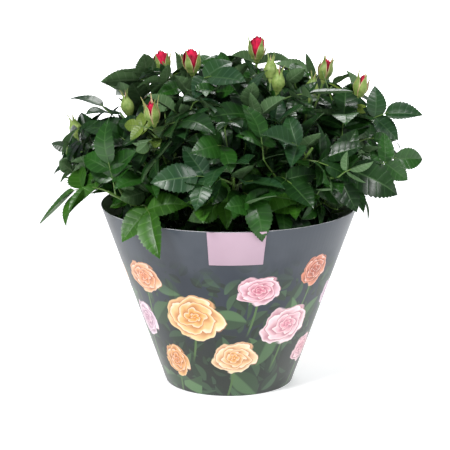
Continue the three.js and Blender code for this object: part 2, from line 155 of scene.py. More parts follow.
class Bloom(Enum):
    """How far a bud has opened."""

    OPEN = "open"
    HALF = "half"
    CLOSED = "closed"


@dataclass(frozen=True)
class BudSize:
    """A bud's length from hip to tip and its greatest radius, in millimetres."""

    length: float
    radius: float


BUDS = {Bloom.OPEN: BudSize(28, 8), Bloom.HALF: BudSize(26, 6.8), Bloom.CLOSED: BudSize(22, 5.4)}


@dataclass(frozen=True)
class Shoot:
    """One cane with its mass of foliage.

    Attributes:
        name: The mass's name without its first word.
        stock: The stock that the cane springs from.
        tip: Where the shoot ends.
        bud: The flower that stands on the tip.
        side_bud: Where a second bud stands on a twig of its own.
    """

    name: str
    stock: str
    tip: tuple[float, float, float]
    bud: Bloom | None = None
    side_bud: tuple[float, float, float] | None = None


@dataclass(frozen=True)
class Reaching:
    """A leaf whose tip is given.

    Attributes:
        shoot: The shoot that it grows on.
        start: Where on the shoot it starts.
        tip: The end leaflet's tip.
        arch: How high its stalk arches, as a share of the way.
        lean: Where its faces lean, beside up and outwards.
    """

    shoot: str
    start: float
    tip: tuple[float, float, float]
    arch: float = 0.13
    lean: tuple[float, float] = (0, 0)


SLEEVE_FOOT, SLEEVE_RIM, SLEEVE_HEIGHT, SLEEVE_WALL = 64.0, 128.0, 182.0, 0.8
SLEEVE_SLOPE = (SLEEVE_RIM - SLEEVE_FOOT) / SLEEVE_HEIGHT
SOIL_LEVEL = 116.0
STOCK_HEIGHT, STOCK_NECK, STOCK_FLARE = 13.0, 7.0, 9.5
CLEARANCE = 0.3
STOCK_TOP = SOIL_LEVEL + CLEARANCE + STOCK_HEIGHT
# How far out a stock stands and how far apart its canes do, as shares of how far their tips are, and the
# share of a shoot's curve at which the cane ends and the stem of its mass starts.
STOCK_REACH, CANE_FAN, MASS_STARTS = 0.4, 0.12, 0.26
# How strongly a shoot with a bud turns upwards at its tip, and how straight a shoot runs at its two ends.
UPRIGHT, FOOT_PULL, TIP_PULL = 1.6, 0.3, 0.32

SHOOTS = [
    Shoot("top", "front", (27, 0, 328), Bloom.OPEN),
    Shoot("top_left", "left", (-36, -30, 320), Bloom.OPEN),
    Shoot("high_left", "back_left", (-66, 30, 309), Bloom.OPEN),
    Shoot("high_right", "back_right", (95, 40, 301), Bloom.HALF),
    Shoot("shoulder_right", "right", (128, 0, 291), Bloom.HALF),
    Shoot("front_left", "left", (-72, -80, 279), Bloom.HALF),
    Shoot("upper_left", "left", (-98, -20, 276), Bloom.CLOSED),
    Shoot("shoulder_left", "back_left", (-149, -8, 251), Bloom.CLOSED),
    Shoot("front_high", "front", (46, -56, 306), Bloom.CLOSED, (40, -22, 312)),
    Shoot("middle_right", "right", (80, -4, 291), Bloom.CLOSED),
    Shoot("front_right", "front", (78, -104, 258)),
    Shoot("front_low", "front", (4, -118, 232)),
    Shoot("low_left", "left", (-116, -86, 212)),
    Shoot("low_right", "right", (128, -70, 222)),
    Shoot("far_right", "right", (142, 44, 246)),
    Shoot("back_left", "back_left", (-112, 72, 260)),
    Shoot("back_high", "back_right", (-22, 92, 280)),
    Shoot("back_right", "back_right", (62, 112, 266)),
    Shoot("back_low_left", "back_left", (-72, 136, 222)),
    Shoot("back_low_right", "back_right", (96, 132, 216)),
]
# The lean of leaves that show their faces to the front.
FORWARD = (0, -2.6)
REACHING = [
    Reaching("shoulder_right", 0.74, (195, -22, 276), lean=FORWARD),
    Reaching("low_right", 0.92, (196, -34, 236), lean=FORWARD),
    Reaching("front_right", 0.7, (168, -84, 214), lean=FORWARD),
    Reaching("low_right", 0.6, (150, -30, 176), 0.4),
    Reaching("shoulder_left", 0.86, (-183, -8, 244), 0.04, FORWARD),
    Reaching("shoulder_left", 0.74, (-182, 4, 216)),
    Reaching("low_left", 0.94, (-186, -56, 172), 0.24),
    Reaching("upper_left", 0.8, (-160, 10, 303), 0.05, (1, 0)),
    Reaching("low_left", 0.7, (-66, -140, 160), 0.24),
    Reaching("front_low", 0.74, (38, -140, 180), 0.3),
    Reaching("back_low_left", 0.9, (-116, 146, 190)),
    Reaching("back_low_right", 0.9, (146, 128, 194)),
    Reaching("far_right", 0.9, (186, 62, 232)),
]


def shoot_curves() -> dict[str, Bezier]:
    """Draws each shoot. The canes of a stock stand on its top in the same order as their tips.

    Returns:
        The shoots' curves by name.
    """
    curves = {}
    for shoot in SHOOTS:
        mean = mean_tip(shoot.stock)
        tip = np.array(shoot.tip, float)
        foot = np.array([*(mean * STOCK_REACH + CANE_FAN * (tip[:2] - mean)), STOCK_TOP + CLEARANCE])
        length = float(np.linalg.norm(tip - foot))
        leaving = unit(unit(tip - CROWN_HEART) + UP * (UPRIGHT if shoot.bud else 0))
        curves[shoot.name] = Bezier(
            (foot, foot + UP * FOOT_PULL * length, tip - leaving * TIP_PULL * length, tip)
        )
    return curves


def mean_tip(stock: str) -> np.ndarray:
    """The middle of the tips of a stock's shoots, seen from above."""
    return np.mean([shoot.tip[:2] for shoot in SHOOTS if shoot.stock == stock], axis=0)


# ---- leaves and the space they keep to


@dataclass(frozen=True)
class LeafForm:
    """A rose leaf of five leaflets at full size, in millimetres, shares and radians."""

    petiole: float = 20
    pair_spacing: float = 14
    end_spacing: float = 12
    stalk_droop: float = 0.26
    end_leaflet: float = 45
    side_leaflet: float = 38
    inner_shrink: float = 0.86
    side_angle: float = 1.1
    width_share: float = 0.62
    widest_at: float = 0.42
    end_root: float = 2.5
    tip_droop: float = 0.12
    edge_lift: float = 0.1
    lean_out: float = 1.2
    lean_aside: float = 0.88


FORM = LeafForm()
# The dome that the crown fills: its reach along X, Y and up, the height of its widest level, how square its
# sides are, and how low the solids' leaves and the finer ones hang inside the sleeve.
CROWN_RADII = (178.0, 165.0, 134.0)
CROWN_CENTRE, CROWN_ROUNDNESS, CROWN_LOWEST, FINE_LOWEST = 200.0, 2.5, 148.0, 134.0
# How far leaves stay above the rim, and how steeply the crown's underside rises beyond it.
RIM_LIFT, UNDERSIDE_SLOPE = 7.0, 0.4
# The place from which the shoots spread.
CROWN_HEART = np.array([0.0, 0.0, 115.0])
YOUNG_SHOOTS = ("shoulder_right", "high_left", "front_left", "back_left")


class Tint(Enum):
    """The tints of the leaves."""

    DEEP = "deep"
    MIDDLE = "middle"
    # Painted sheen: leaves dealt this tint are coloured like a bluish gloss.
    PAINTED_BLUISH_SHEEN = "painted_bluish_sheen"
    BRIGHT = "bright"
    YOUNG = "young"
    BRONZE = "bronze"


@dataclass
class Leaflet:
    """One leaflet's root, direction, upper face and length."""

    at: np.ndarray
    direction: np.ndarray
    face: np.ndarray
    length: float


@dataclass
class Leaf:
    """A compound leaf: its stalk, its leaflets and its tint."""

    stalk: Bezier
    leaflets: list[Leaflet]
    tint: Tint | None = None


def facing(point: np.ndarray, direction: np.ndarray, lean: np.ndarray) -> np.ndarray:
    """The way a leaflet's upper face turns: up, away from the bush's middle, and by the leaf's own lean.

    Args:
        point: Where the leaflet starts.
        direction: Its direction.
        lean: Where the leaf's faces lean, beside up and outwards.

    Returns:
        A unit vector that is square to the direction.
    """
    wanted = UP + np.array([point[0], point[1], 0.0]) / CROWN_RADII[0] * FORM.lean_out + lean
    return unit(wanted - direction * (wanted @ direction))


def on_stalk(stalk: Bezier, share: float) -> np.ndarray:
    """The place at a share of a stalk that is made of two straight stretches.

    Args:
        stalk: The curve that the two stretches follow.
        share: From 0 at its start to 1 at its end.

    Returns:
        The place.
    """
    stretch = min(int(share * 2), 1)
    start, end = stalk.point(stretch / 2), stalk.point((stretch + 1) / 2)
    return start + (end - start) * (share * 2 - stretch)


def compound_leaf(stalk: Bezier, ending: np.ndarray, size: float, pairs: int, lean: np.ndarray) -> Leaf:
    """Sets the leaflets on a stalk.

    Args:
        stalk: The stalk's curve.
        ending: The end leaflet's direction.
        size: The leaf's size as a share of a full one.
        pairs: How many pairs of side leaflets it has.
        lean: Where its faces lean, beside up and outwards.

    Returns:
        The leaf.
    """
    whole = FORM.petiole + FORM.pair_spacing * (pairs - 1) + FORM.end_spacing
    leaflets = []
    for pair in range(pairs):
        share = (FORM.petiole + FORM.pair_spacing * pair) / whole
        joint, along = on_stalk(stalk, share), stalk.tangent(share)
        length = size * FORM.side_leaflet * (1 if pair == pairs - 1 else FORM.inner_shrink)
        for hand in (-1, 1):
            direction = turned(along, facing(joint, along, lean), hand * FORM.side_angle)
            leaflets.append(Leaflet(joint, direction, facing(joint, direction, lean), length))
    root = on_stalk(stalk, 1 - FORM.end_root / (size * whole))
    leaflets.append(Leaflet(root, ending, facing(root, ending, lean), size * FORM.end_leaflet))
    return Leaf(stalk, leaflets)


SAMPLED_ALONG, SAMPLED_ACROSS = (0.16, 0.3, 0.42, 0.6, 0.8), (-1, -0.5, 0, 0.5, 1)
STALK_SHARES = (0.15, 0.3, 0.45, 0.6, 0.75, 0.9)


def blade_samples() -> tuple[np.ndarray, np.ndarray]:
    """Where a blade is sampled, to test where it lies.

    Returns:
        Shares of its length, and for each a share of its greatest half width.
    """
    along, across = [], []
    for share in SAMPLED_ALONG:
        edge = share / FORM.widest_at if share < FORM.widest_at else (1 - share) / (1 - FORM.widest_at)
        along += [share] * len(SAMPLED_ACROSS)
        across += [edge * side for side in SAMPLED_ACROSS]
    return np.array([*along, 1.0]), np.array([*across, 0.0])


BLADE_ALONG, BLADE_ACROSS = blade_samples()


def leaf_points(leaf: Leaf) -> np.ndarray:
    """Points all over a leaf, to test where it lies.

    Args:
        leaf: The leaf.

    Returns:
        The points, a row each.
    """
    points = [np.array([leaf.stalk.point(share) for share in STALK_SHARES])]
    fall = np.maximum(0, (BLADE_ALONG - FORM.widest_at) / (1 - FORM.widest_at)) * FORM.tip_droop
    for leaflet in leaf.leaflets:
        half = leaflet.length * FORM.width_share / 2
        side = np.cross(leaflet.face, leaflet.direction)
        rise = 2 * np.abs(BLADE_ACROSS) * FORM.edge_lift * half - fall * leaflet.length
        points.append(
            leaflet.at
            + np.outer(BLADE_ALONG * leaflet.length, leaflet.direction)
            + np.outer(BLADE_ACROSS * half, side)
            + np.outer(rise, leaflet.face)
        )
    return np.concatenate(points)


@dataclass(frozen=True)
class Item:
    """Something placed that a new leaf keeps clear of: its owner, points, solid radius and gaps."""

    owner: str
    points: np.ndarray
    core: float
    gap: float
    own_gap: float


@dataclass
class Crown:
    """Grows every shoot's leaves and keeps them apart, first by the solids' rule and then by a finer one.

    Attributes:
        curves: Each shoot's curve.
        leaves: The grown leaves of each shoot.
        twigs: The finer twigs of each shoot.
        snug: The share of a gap that is still kept. It is less than 1 for the finer leaves.
        lowest: The lowest height of leaves inside the sleeve.
        items: All that a new leaf keeps clear of.
    """

    curves: dict[str, Bezier]
    leaves: dict[str, list[Leaf]] = field(default_factory=dict)
    twigs: list[Bezier] = field(default_factory=list)
    snug: float = 1.0
    lowest: float = CROWN_LOWEST
    items: list[Item] = field(default_factory=list)

    LEAF_GAP = (6.2, 4.0)
    LIMB_GAP, BUD_GAP, SLEEVE_GAP, SHARED_DEPTH = 5.0, 6.0, 4.0, 30.0
    CANE_CORE, STEM_CORE, TWIG_CORE = 2.0, 1.5, 1.0
    LIMB_POINTS, BUD_SHARES = 24, (0.3, 0.5, 0.7, 0.9)
    SPREAD, OUTWARD, LEAF_TURN = 1.05, 0.2, math.radians(137.5)
    JOINT_AT, STALK_BEND, TWO_PAIRS_FROM = 0.55, 0.26, 62
    MAIN_SEED, MAIN_ROUNDS, MAIN_FIRST, MAIN_LAST = 7, 5, 0.36, 0.92
    TURNS = (0, 0.4, -0.4, 0.8, -0.8, 1.3, -1.3, 1.9, -1.9)
    SIZES = (1, 0.88, 0.76, 0.64)

    FINE_SEED, FINE_SNUG = 11, 0.34
    YOUNG_PLACES, BRONZE_BELOW, YOUNG_SIZES = (0.93, 0.88, 0.83), 0.85, (0.46, 0.38, 0.3)
    TWIG_PLACES, TWIG_SHIFT = (0.34, 0.52, 0.7, 0.27, 0.44, 0.61, 0.78, 0.31), 0.05
    TWIG_TURNS, TWIG_LENGTHS, TWIG_SLANT, TWIG_LIFT = (0, 1, -1, 2, -2, 3), (52.0, 38.0), 0.7, 0.2
    TWIG_LEAF_PLACES, TWIG_LEAF_SIZES = (1.0, 0.7, 0.4, 0.15), (0.88, 0.7, 0.54)
    STEM_LEAF_PLACES = (0.88, 0.8, 0.72, 0.64, 0.56, 0.48, 0.41, 0.34, 0.28)
    STEM_LEAF_SIZES = (0.94, 0.76, 0.58)

    def __post_init__(self) -> None:
        """Places the limbs and buds."""
        self.lows, self.highs = np.zeros((0, 3)), np.zeros((0, 3))
        self.order = {shoot.name: i for i, shoot in enumerate(SHOOTS)}
        self.leaves = {shoot.name: [] for shoot in SHOOTS}
        stems = []
        for shoot in SHOOTS:
            name, curve = shoot.name, self.curves[shoot.name]
            cane = curve.samples(0, MASS_STARTS, self.LIMB_POINTS)
            self.place(Item(name, cane, self.CANE_CORE, self.LIMB_GAP, self.LIMB_GAP))
            stems.append(curve.samples(MASS_STARTS, 1, self.LIMB_POINTS))
            self.place(Item(name, stems[-1], self.STEM_CORE, self.LIMB_GAP, 0))
            if shoot.side_bud:
                twig = side_twig(shoot, curve).samples(0, 1, self.LIMB_POINTS)
                self.place(Item(name, twig, self.TWIG_CORE, self.LIMB_GAP, 0))
            for carrier, kind in buds_of(shoot, curve):
                size = BUDS[kind]
                end, way = carrier.point(1), carrier.tangent(1)
                points = np.array([end + way * share * size.length for share in self.BUD_SHARES])
                self.place(Item(name, points, size.radius, size.radius + self.BUD_GAP, size.radius))
        self.stems = np.concatenate(stems)

    def place(self, item: Item) -> None:
        """Keeps an item, so that later leaves stay clear of it."""
        self.items.append(item)
        self.lows = np.vstack([self.lows, item.points.min(0) - item.gap])
        self.highs = np.vstack([self.highs, item.points.max(0) + item.gap])

    def clear_of_placed(self, points: np.ndarray, name: str) -> bool:
        """Tells whether points keep clear of all that is placed.

        Args:
            points: The points.
            name: The shoot that they belong to, whose own things they may come nearer to.

        Returns:
            True if no point is too near.
        """
        near = np.all((self.lows < points.max(0)) & (self.highs > points.min(0)), axis=1)
        for index in np.flatnonzero(near):
            item = self.items[index]
            gap = item.own_gap if item.owner == name else item.gap
            if gap == 0:
                continue
            needed = gap if self.snug == 1 else item.core + max(0, gap - item.core) * self.snug
            apart = ((points[:, None, :] - item.points[None, :, :]) ** 2).sum(2)
            if apart.min() <= needed * needed:
                return False
        return True

    def clear_of_sleeve(self, points: np.ndarray) -> bool:
        """Tells whether a leaf keeps clear of the sleeve's wall.

        Args:
            points: The leaf's sample points.

        Returns:
            True if those below the rim are all inside the sleeve or all outside it.
        """
        low = points[points[:, 2] < SLEEVE_HEIGHT + self.SLEEVE_GAP]
        height = np.minimum(low[:, 2], SLEEVE_HEIGHT)
        depth = SLEEVE_FOOT + SLEEVE_SLOPE * height - np.hypot(low[:, 0], low[:, 1])
        return bool(np.all(depth > self.SLEEVE_GAP) or np.all(depth < -self.SLEEVE_GAP))

    def in_dome(self, points: np.ndarray) -> bool:
        """Tells whether points lie in the dome that the crown fills.

        Args:
            points: The points.

        Returns:
            True if all of them do.
        """
        level = np.hypot(points[:, 0] / CROWN_RADII[0], points[:, 1] / CROWN_RADII[1])
        rise = np.maximum(0, points[:, 2] - CROWN_CENTRE) / CROWN_RADII[2]
        inside = level**CROWN_ROUNDNESS + rise**CROWN_ROUNDNESS < 1
        past_rim = np.hypot(points[:, 0], points[:, 1]) - SLEEVE_RIM
        over_rim = SLEEVE_HEIGHT + RIM_LIFT + UNDERSIDE_SLOPE * past_rim
        return bool(np.all(inside & (points[:, 2] > np.where(past_rim < 0, self.lowest, over_rim))))

    def near_own(self, points: np.ndarray, name: str) -> bool:
        """Tells whether points stay with their own shoot.

        Args:
            points: The points.
            name: Their shoot.

        Returns:
            True if none lies far past the middle between its own shoot and another.
        """
        apart = ((points[:, None, :] - self.stems[None, :, :]) ** 2).sum(2)
        nearest = np.sqrt(apart.reshape(len(points), len(SHOOTS), -1).min(2))
        own = nearest[:, self.order[name]]
        return bool(np.all(own < nearest.min(1) + self.SHARED_DEPTH))

    def spiral_leaf(
        self, name: str, curve: Bezier, along: float, turn: float, aside: float, sizes: Sequence[float]
    ) -> tuple[Leaf, np.ndarray] | None:
        """The first of the tried sizes and turns of a leaf that keeps to its space.

        Args:
            name: The shoot.
            curve: The stem or twig that the leaf grows on.
            along: The leaf's place on it.
            turn: The leaf's turn round it.
            aside: The way that its faces lean, as a turn about the bush's axis.
            sizes: The sizes that are tried.

        Returns:
            The leaf and its sample points, or None.
        """
        at, tangent = curve.point(along), curve.tangent(along)
        lean = np.array([math.cos(aside), math.sin(aside), 0.0]) * FORM.lean_aside
        outward = unit(at - CROWN_HEART)
        ring = square_to(tangent)
        for size in sizes:
            for pairs in (2, 1):
                for further in self.TURNS:
                    way = tangent * math.cos(self.SPREAD)
                    way = way + turned(ring, tangent, turn + further) * math.sin(self.SPREAD)
                    leaf = spiral_frame(at, unit(way + outward * self.OUTWARD), size, pairs, lean)
                    points = leaf_points(leaf)
                    if not self.in_dome(points) or not self.clear_of_sleeve(points):
                        continue
                    if self.clear_of_placed(points, name) and self.near_own(points, name):
                        return leaf, points
        return None

    def reaching_leaf(self, reaching: Reaching) -> tuple[Leaf, np.ndarray] | None:
        """A leaf whose tip is given: its stalk arches over and its end leaflet points down to the tip.

        Args:
            reaching: Its place and tip.

        Returns:
            The leaf and its sample points, or None where something is in its way.
        """
        base, end = self.curves[reaching.shoot].point(reaching.start), np.array(reaching.tip, float)
        way = end - base
        reach = float(np.linalg.norm(way))
        rise = UP * reaching.arch * reach
        joint = base + way * self.JOINT_AT + rise
        ending = end - joint
        size = float(np.linalg.norm(ending)) / FORM.end_leaflet
        stalk = Bezier((base, base + way * self.STALK_BEND + rise, joint))
        pairs = 2 if reach > self.TWO_PAIRS_FROM else 1
        leaf = compound_leaf(stalk, unit(ending), size, pairs, np.array([*reaching.lean, 0.0]))
        points = leaf_points(leaf)
        fits = self.clear_of_sleeve(points) and self.clear_of_placed(points, reaching.shoot)
        return (leaf, points) if fits else None

    def keep(self, name: str, grown: tuple[Leaf, np.ndarray] | None, tint: Tint | None = None) -> None:
        """Adds a leaf to its shoot.

        Args:
            name: The shoot.
            grown: The leaf and its sample points, or None where there was no room for it.
            tint: Its tint, or None where that is dealt out later.
        """
        if grown is None:
            return
        leaf, points = grown
        leaf.tint = tint
        self.leaves[name].append(leaf)
        self.place(Item(name, points, 0, *self.LEAF_GAP))

    def count(self) -> int:
        """How many leaves have grown."""
        return sum(len(leaves) for leaves in self.leaves.values())

    def grow_main(self) -> None:
        """Grows the leaves that the solids have."""
        for reaching in REACHING:
            self.keep(reaching.shoot, self.reaching_leaf(reaching))
        random = Seeded(self.MAIN_SEED)
        first_turns = [random.next() * WHOLE_TURN for _ in SHOOTS]
        for i in reversed(range(self.MAIN_ROUNDS)):
            along = mixed(self.MAIN_FIRST, self.MAIN_LAST, i / (self.MAIN_ROUNDS - 1))
            for shoot, first in zip(SHOOTS, first_turns):
                aside, turn = random.next() * WHOLE_TURN, first + i * self.LEAF_TURN
                name, curve = shoot.name, self.curves[shoot.name]
                self.keep(name, self.spiral_leaf(name, curve, along, turn, aside, self.SIZES))

    def grow_fine(self) -> None:
        """Grows twigs and smaller leaves into the room that is left."""
        self.snug, self.lowest = self.FINE_SNUG, FINE_LOWEST
        random = Seeded(self.FINE_SEED)
        for name in YOUNG_SHOOTS:
            for along in self.YOUNG_PLACES:
                tint = Tint.YOUNG if along > self.BRONZE_BELOW else Tint.BRONZE
                self.grow_stem_leaf(name, along, self.YOUNG_SIZES, random, tint)
        for start in self.TWIG_PLACES:
            for shoot in SHOOTS:
                self.grow_twig(shoot.name, start, random)
        for along in self.STEM_LEAF_PLACES:
            for shoot in SHOOTS:
                self.grow_stem_leaf(shoot.name, along, self.STEM_LEAF_SIZES, random)

    def grow_stem_leaf(
        self, name: str, along: float, sizes: Sequence[float], random: Seeded, tint: Tint | None = None
    ) -> None:
        """Grows a finer leaf on a shoot's stem, if it has room.

        Args:
            name: The shoot.
            along: The leaf's place on it.
            sizes: The sizes that are tried.
            random: The numbers that turn it.
            tint: Its tint, or None where that is dealt out later.
        """
        turn, aside = random.next() * WHOLE_TURN, random.next() * WHOLE_TURN
        self.keep(name, self.spiral_leaf(name, self.curves[name], along, turn, aside, sizes), tint)

    def grow_twig(self, name: str, start: float, random: Seeded) -> None:
        """Grows a twig with its leaves, if it has room.

        Args:
            name: The shoot that it leaves.
            start: About where on the shoot it starts.
            random: The numbers that shift and turn it.
        """
        twig = self.side_shoot(name, start + random.around(self.TWIG_SHIFT), random.next() * WHOLE_TURN)
        if twig is None:
            return
        self.twigs.append(twig)
        for i, along in enumerate(self.TWIG_LEAF_PLACES):
            turn, aside = i * self.LEAF_TURN + random.next(), random.next() * WHOLE_TURN
            self.keep(name, self.spiral_leaf(name, twig, along, turn, aside, self.TWIG_LEAF_SIZES))

    def side_shoot(self, name: str, start: float, turn: float) -> Bezier | None:
        """A finer twig that leaves a shoot and bends upwards.

        Args:
            name: The shoot.
            start: Where on it the twig starts.
            turn: The first of the tried turns round the shoot.

        Returns:
            The twig's curve, or None where it has no room.
        """
        curve = self.curves[name]
        at, tangent = curve.point(start), curve.tangent(start)
        ring = square_to(tangent)
        for further in self.TWIG_TURNS:
            way = unit(tangent * self.TWIG_SLANT + turned(ring, tangent, turn + further))
            for length in self.TWIG_LENGTHS:
                end = at + way * length + UP * length * self.TWIG_LIFT
                twig = Bezier((at, at + way * length * 0.5, end))
                points = twig.samples(0.2, 1, 16)
                if not self.in_dome(points) or not self.clear_of_sleeve(points):
                    continue
                if self.clear_of_placed(points, name):
                    self.place(Item(name, points, self.TWIG_CORE, self.LIMB_GAP, 0))
                    return twig
        return None


def spiral_frame(at: np.ndarray, direction: np.ndarray, size: float, pairs: int, lean: np.ndarray) -> Leaf:
    """A leaf whose stalk leaves in one direction and sinks under the leaf's weight.

    Args:
        at: Where the stalk starts.
        direction: The unit direction in which it leaves.
        size: The leaf's size as a share of a full one.
        pairs: How many pairs of side leaflets it has.
        lean: Where its faces lean, beside up and outwards.

    Returns:
        The leaf.
    """
    length = size * (FORM.petiole + FORM.pair_spacing * (pairs - 1) + FORM.end_spacing)
    middle = at + direction * length / 2
    end = at + direction * length - UP * FORM.stalk_droop * length
    return compound_leaf(Bezier((at, middle, end)), unit(end - middle), size, pairs, lean)


# Where on its shoot the twig of a second bud starts, and how far it sags, in millimetres.
SIDE_TWIG_START, SIDE_TWIG_SAG = 0.72, 6


def side_twig(shoot: Shoot, curve: Bezier) -> Bezier:
    """The twig that carries a shoot's second bud."""
    start, end = curve.point(SIDE_TWIG_START), np.array(shoot.side_bud, float)
    return Bezier((start, start + (end - start) * 0.5 - UP * SIDE_TWIG_SAG, end))


def buds_of(shoot: Shoot, curve: Bezier) -> list[tuple[Bezier, Bloom]]:
    """The buds of a shoot.

    Args:
        shoot: The shoot.
        curve: Its curve.

    Returns:
        For each bud, what it stands on and how far it has opened.
    """
    buds = [(curve, shoot.bud)] if shoot.bud else []
    if shoot.side_bud:
        buds.append((side_twig(shoot, curve), Bloom.CLOSED))
    return buds


# ---- meshes


@dataclass
class Shape:
    """Corners and faces of a small shape.

    Attributes:
        points: Its corners.
        loops: Every face's corners, one face after the other.
        sizes: How many corners each face has.
        slots: Each face's material slot.
        spread: Each corner's place on the shape's own flat map, if it has one.
    """

    points: np.ndarray
    loops: np.ndarray
    sizes: np.ndarray
    slots: np.ndarray
    spread: np.ndarray | None = None


@dataclass
class Gathered:
    """Many small shapes that become one mesh."""

    shapes: list[Shape] = field(default_factory=list)

    def add(self, shape: Shape) -> None:
        """Adds a shape whose corners are in millimetres."""
        self.shapes.append(shape)

    def piece(
        self, name: str, materials: Sequence[bpy.types.Material], sharp_from: float
    ) -> bpy.types.Object:
        """Makes the joined mesh object.

        Args:
            name: The object's name.
            materials: The materials that the faces' slots count through.
            sharp_from: Edges that turn by more than this many degrees stay sharp.

        Returns:
            The object, in metres, with its place in its mesh.
        """
        starts = np.cumsum([0] + [len(shape.points) for shape in self.shapes[:-1]])
        points = np.concatenate([shape.points for shape in self.shapes]) * MM
        loops = np.concatenate([shape.loops + start for shape, start in zip(self.shapes, starts)])
        sizes = np.concatenate([shape.sizes for shape in self.shapes])
        mesh = bpy.data.meshes.new(name)
        mesh.vertices.add(len(points))
        mesh.vertices.foreach_set("co", points.astype(np.float32).ravel())
        mesh.loops.add(len(loops))
        mesh.loops.foreach_set("vertex_index", loops.astype(np.int32))
        mesh.polygons.add(len(sizes))
        firsts = np.concatenate([[0], np.cumsum(sizes)[:-1]])
        mesh.polygons.foreach_set("loop_start", firsts.astype(np.int32))
        slots = np.concatenate([shape.slots for shape in self.shapes])
        mesh.polygons.foreach_set("material_index", slots.astype(np.int32))
        mesh.update(calc_edges=True)
        if self.shapes[0].spread is not None:
            spread = np.concatenate([shape.spread for shape in self.shapes])[loops]
            mesh.uv_layers.new(name="own_map").uv.foreach_set("vector", spread.astype(np.float32).ravel())
        mesh.validate()
        for material in materials:
            mesh.materials.append(material)
        piece = bpy.data.objects.new(name, mesh)
        bpy.context.scene.collection.objects.link(piece)
        smooth(piece, sharp_from)
        return piece


def select_only(piece: bpy.types.Object) -> None:
    """Makes one object the selected and active one."""
    bpy.ops.object.select_all(action="DESELECT")
    piece.select_set(True)
    bpy.context.view_layer.objects.active = piece


def smooth(piece: bpy.types.Object, sharp_from: float) -> None:
    """Shades a piece smooth, with its edges over an angle in degrees left sharp."""
    select_only(piece)
    bpy.ops.object.shade_smooth_by_angle(angle=math.radians(sharp_from))


def grid_faces(rows: int, columns: int, closed: bool) -> np.ndarray:
    """The quads of a grid of corners.

    Args:
        rows: How many rows of corners it has.
        columns: How many corners a row has.
        closed: Whether each row closes on itself.

    Returns:
        The numbers of each quad's corners, row by row.
    """
    across = columns if closed else columns - 1
    i, j = np.meshgrid(np.arange(rows - 1), np.arange(across), indexing="ij")
    i, j = i.ravel(), j.ravel()
    k = (j + 1) % columns
    return np.stack([i * columns + j, i * columns + k, (i + 1) * columns + k, (i + 1) * columns + j], axis=1)


def tube(
    path: np.ndarray, radii: np.ndarray, sides: int, slot: int = 0, relief: np.ndarray | None = None
) -> Shape:
    """A closed round tube along a path.

    Args:
        path: The middle of each ring.
        radii: Each ring's radius.
        sides: How many corners a ring has.
        slot: The material slot of its faces.
        relief: How much each corner stands out, as a share of its radius, or None.

    Returns:
        The tube's shape.
    """
    ways = np.gradient(path, axis=0)
    ways /= np.linalg.norm(ways, axis=1)[:, None]
    aside = well_aside(ways[0])
    right = aside - ways * (ways @ aside)[:, None]
    right /= np.linalg.norm(right, axis=1)[:, None]
    front = np.cross(ways, right)
    angles = np.arange(sides) * 2 * math.pi / sides
    out = right[:, None, :] * np.cos(angles)[None, :, None]
    out = out + front[:, None, :] * np.sin(angles)[None, :, None]
    reach = np.repeat(radii[:, None], sides, axis=1)
    if relief is not None:
        reach = reach * (1 + relief)
    points = (path[:, None, :] + out * reach[:, :, None]).reshape(-1, 3)
    quads = grid_faces(len(path), sides, True)
    last = (len(path) - 1) * sides
    loops = np.concatenate([quads.ravel(), np.arange(sides)[::-1], last + np.arange(sides)])
    sizes = np.array([4] * len(quads) + [sides, sides])
    return Shape(points, loops, sizes, np.full(len(sizes), slot))


def sheet(grid: np.ndarray, thickness: float, slots: tuple[int, int]) -> Shape:
    """A thin closed shell from a grid of corners.

    Args:
        grid: Rows of corners of the outer face.
        thickness: How far the inner face lies behind the outer one.
        slots: The material slots of the outer and the inner face.

    Returns:
        The shell's shape.
    """
    rows, columns = grid.shape[:2]
    down, across = np.gradient(grid, axis=0), np.gradient(grid, axis=1)
    normal = np.cross(across, down)
    normal /= np.maximum(np.linalg.norm(normal, axis=2), 1e-9)[:, :, None]
    inner = grid - normal * thickness
    quads = grid_faces(rows, columns, False)
    count = rows * columns
    edge = [*range(columns - 1), *range(columns - 1, count - 1, columns)]
    edge += [*range(count - 1, count - columns, -1), *range(count - columns, 0, -columns)]
    edge = np.array(edge)
    following = np.roll(edge, -1)
    rim = np.stack([following, edge, edge + count, following + count], axis=1)
    faces = np.concatenate([quads, quads[:, ::-1] + count, rim])
    slot = np.array([slots[0]] * len(quads) + [slots[1]] * len(quads) + [slots[0]] * len(rim))
    points = np.concatenate([grid.reshape(-1, 3), inner.reshape(-1, 3)])
    return Shape(points, faces.ravel(), np.full(len(faces), 4), slot)


def placed_shape(shape: Shape, at: np.ndarray, axes: np.ndarray) -> Shape:
    """A copy of a shape, moved so that its own X, Y and Z lie along the rows of `axes`."""
    return Shape(shape.points @ axes + at, shape.loops, shape.sizes, shape.slots, shape.spread)


def axes_along(direction: np.ndarray, turn: float) -> np.ndarray:
    """Unit axes whose Z lies along a unit direction, turned about it by radians."""
    right = turned(unit(np.cross(well_aside(direction), direction)), direction, turn)
    return np.array([right, np.cross(direction, right), direction])


# ---- finishes


def linear(colour: str) -> tuple[float, float, float, float]:
    """A colour written as sRGB hex, in the linear values that a shader takes."""
    parts = [int(colour[i : i + 2], 16) / 255 for i in (1, 3, 5)]
    return (*[c / 12.92 if c <= 0.04045 else ((c + 0.055) / 1.055) ** 2.4 for c in parts], 1.0)


MATH, VECTOR, RANGE, MIX = "ShaderNodeMath", "ShaderNodeVectorMath", "ShaderNodeMapRange", "ShaderNodeMix"
NOISE, CELLS = "ShaderNodeTexNoise", "ShaderNodeTexVoronoi"
SHADER, OUTPUT = "ShaderNodeBsdfPrincipled", "ShaderNodeOutputMaterial"


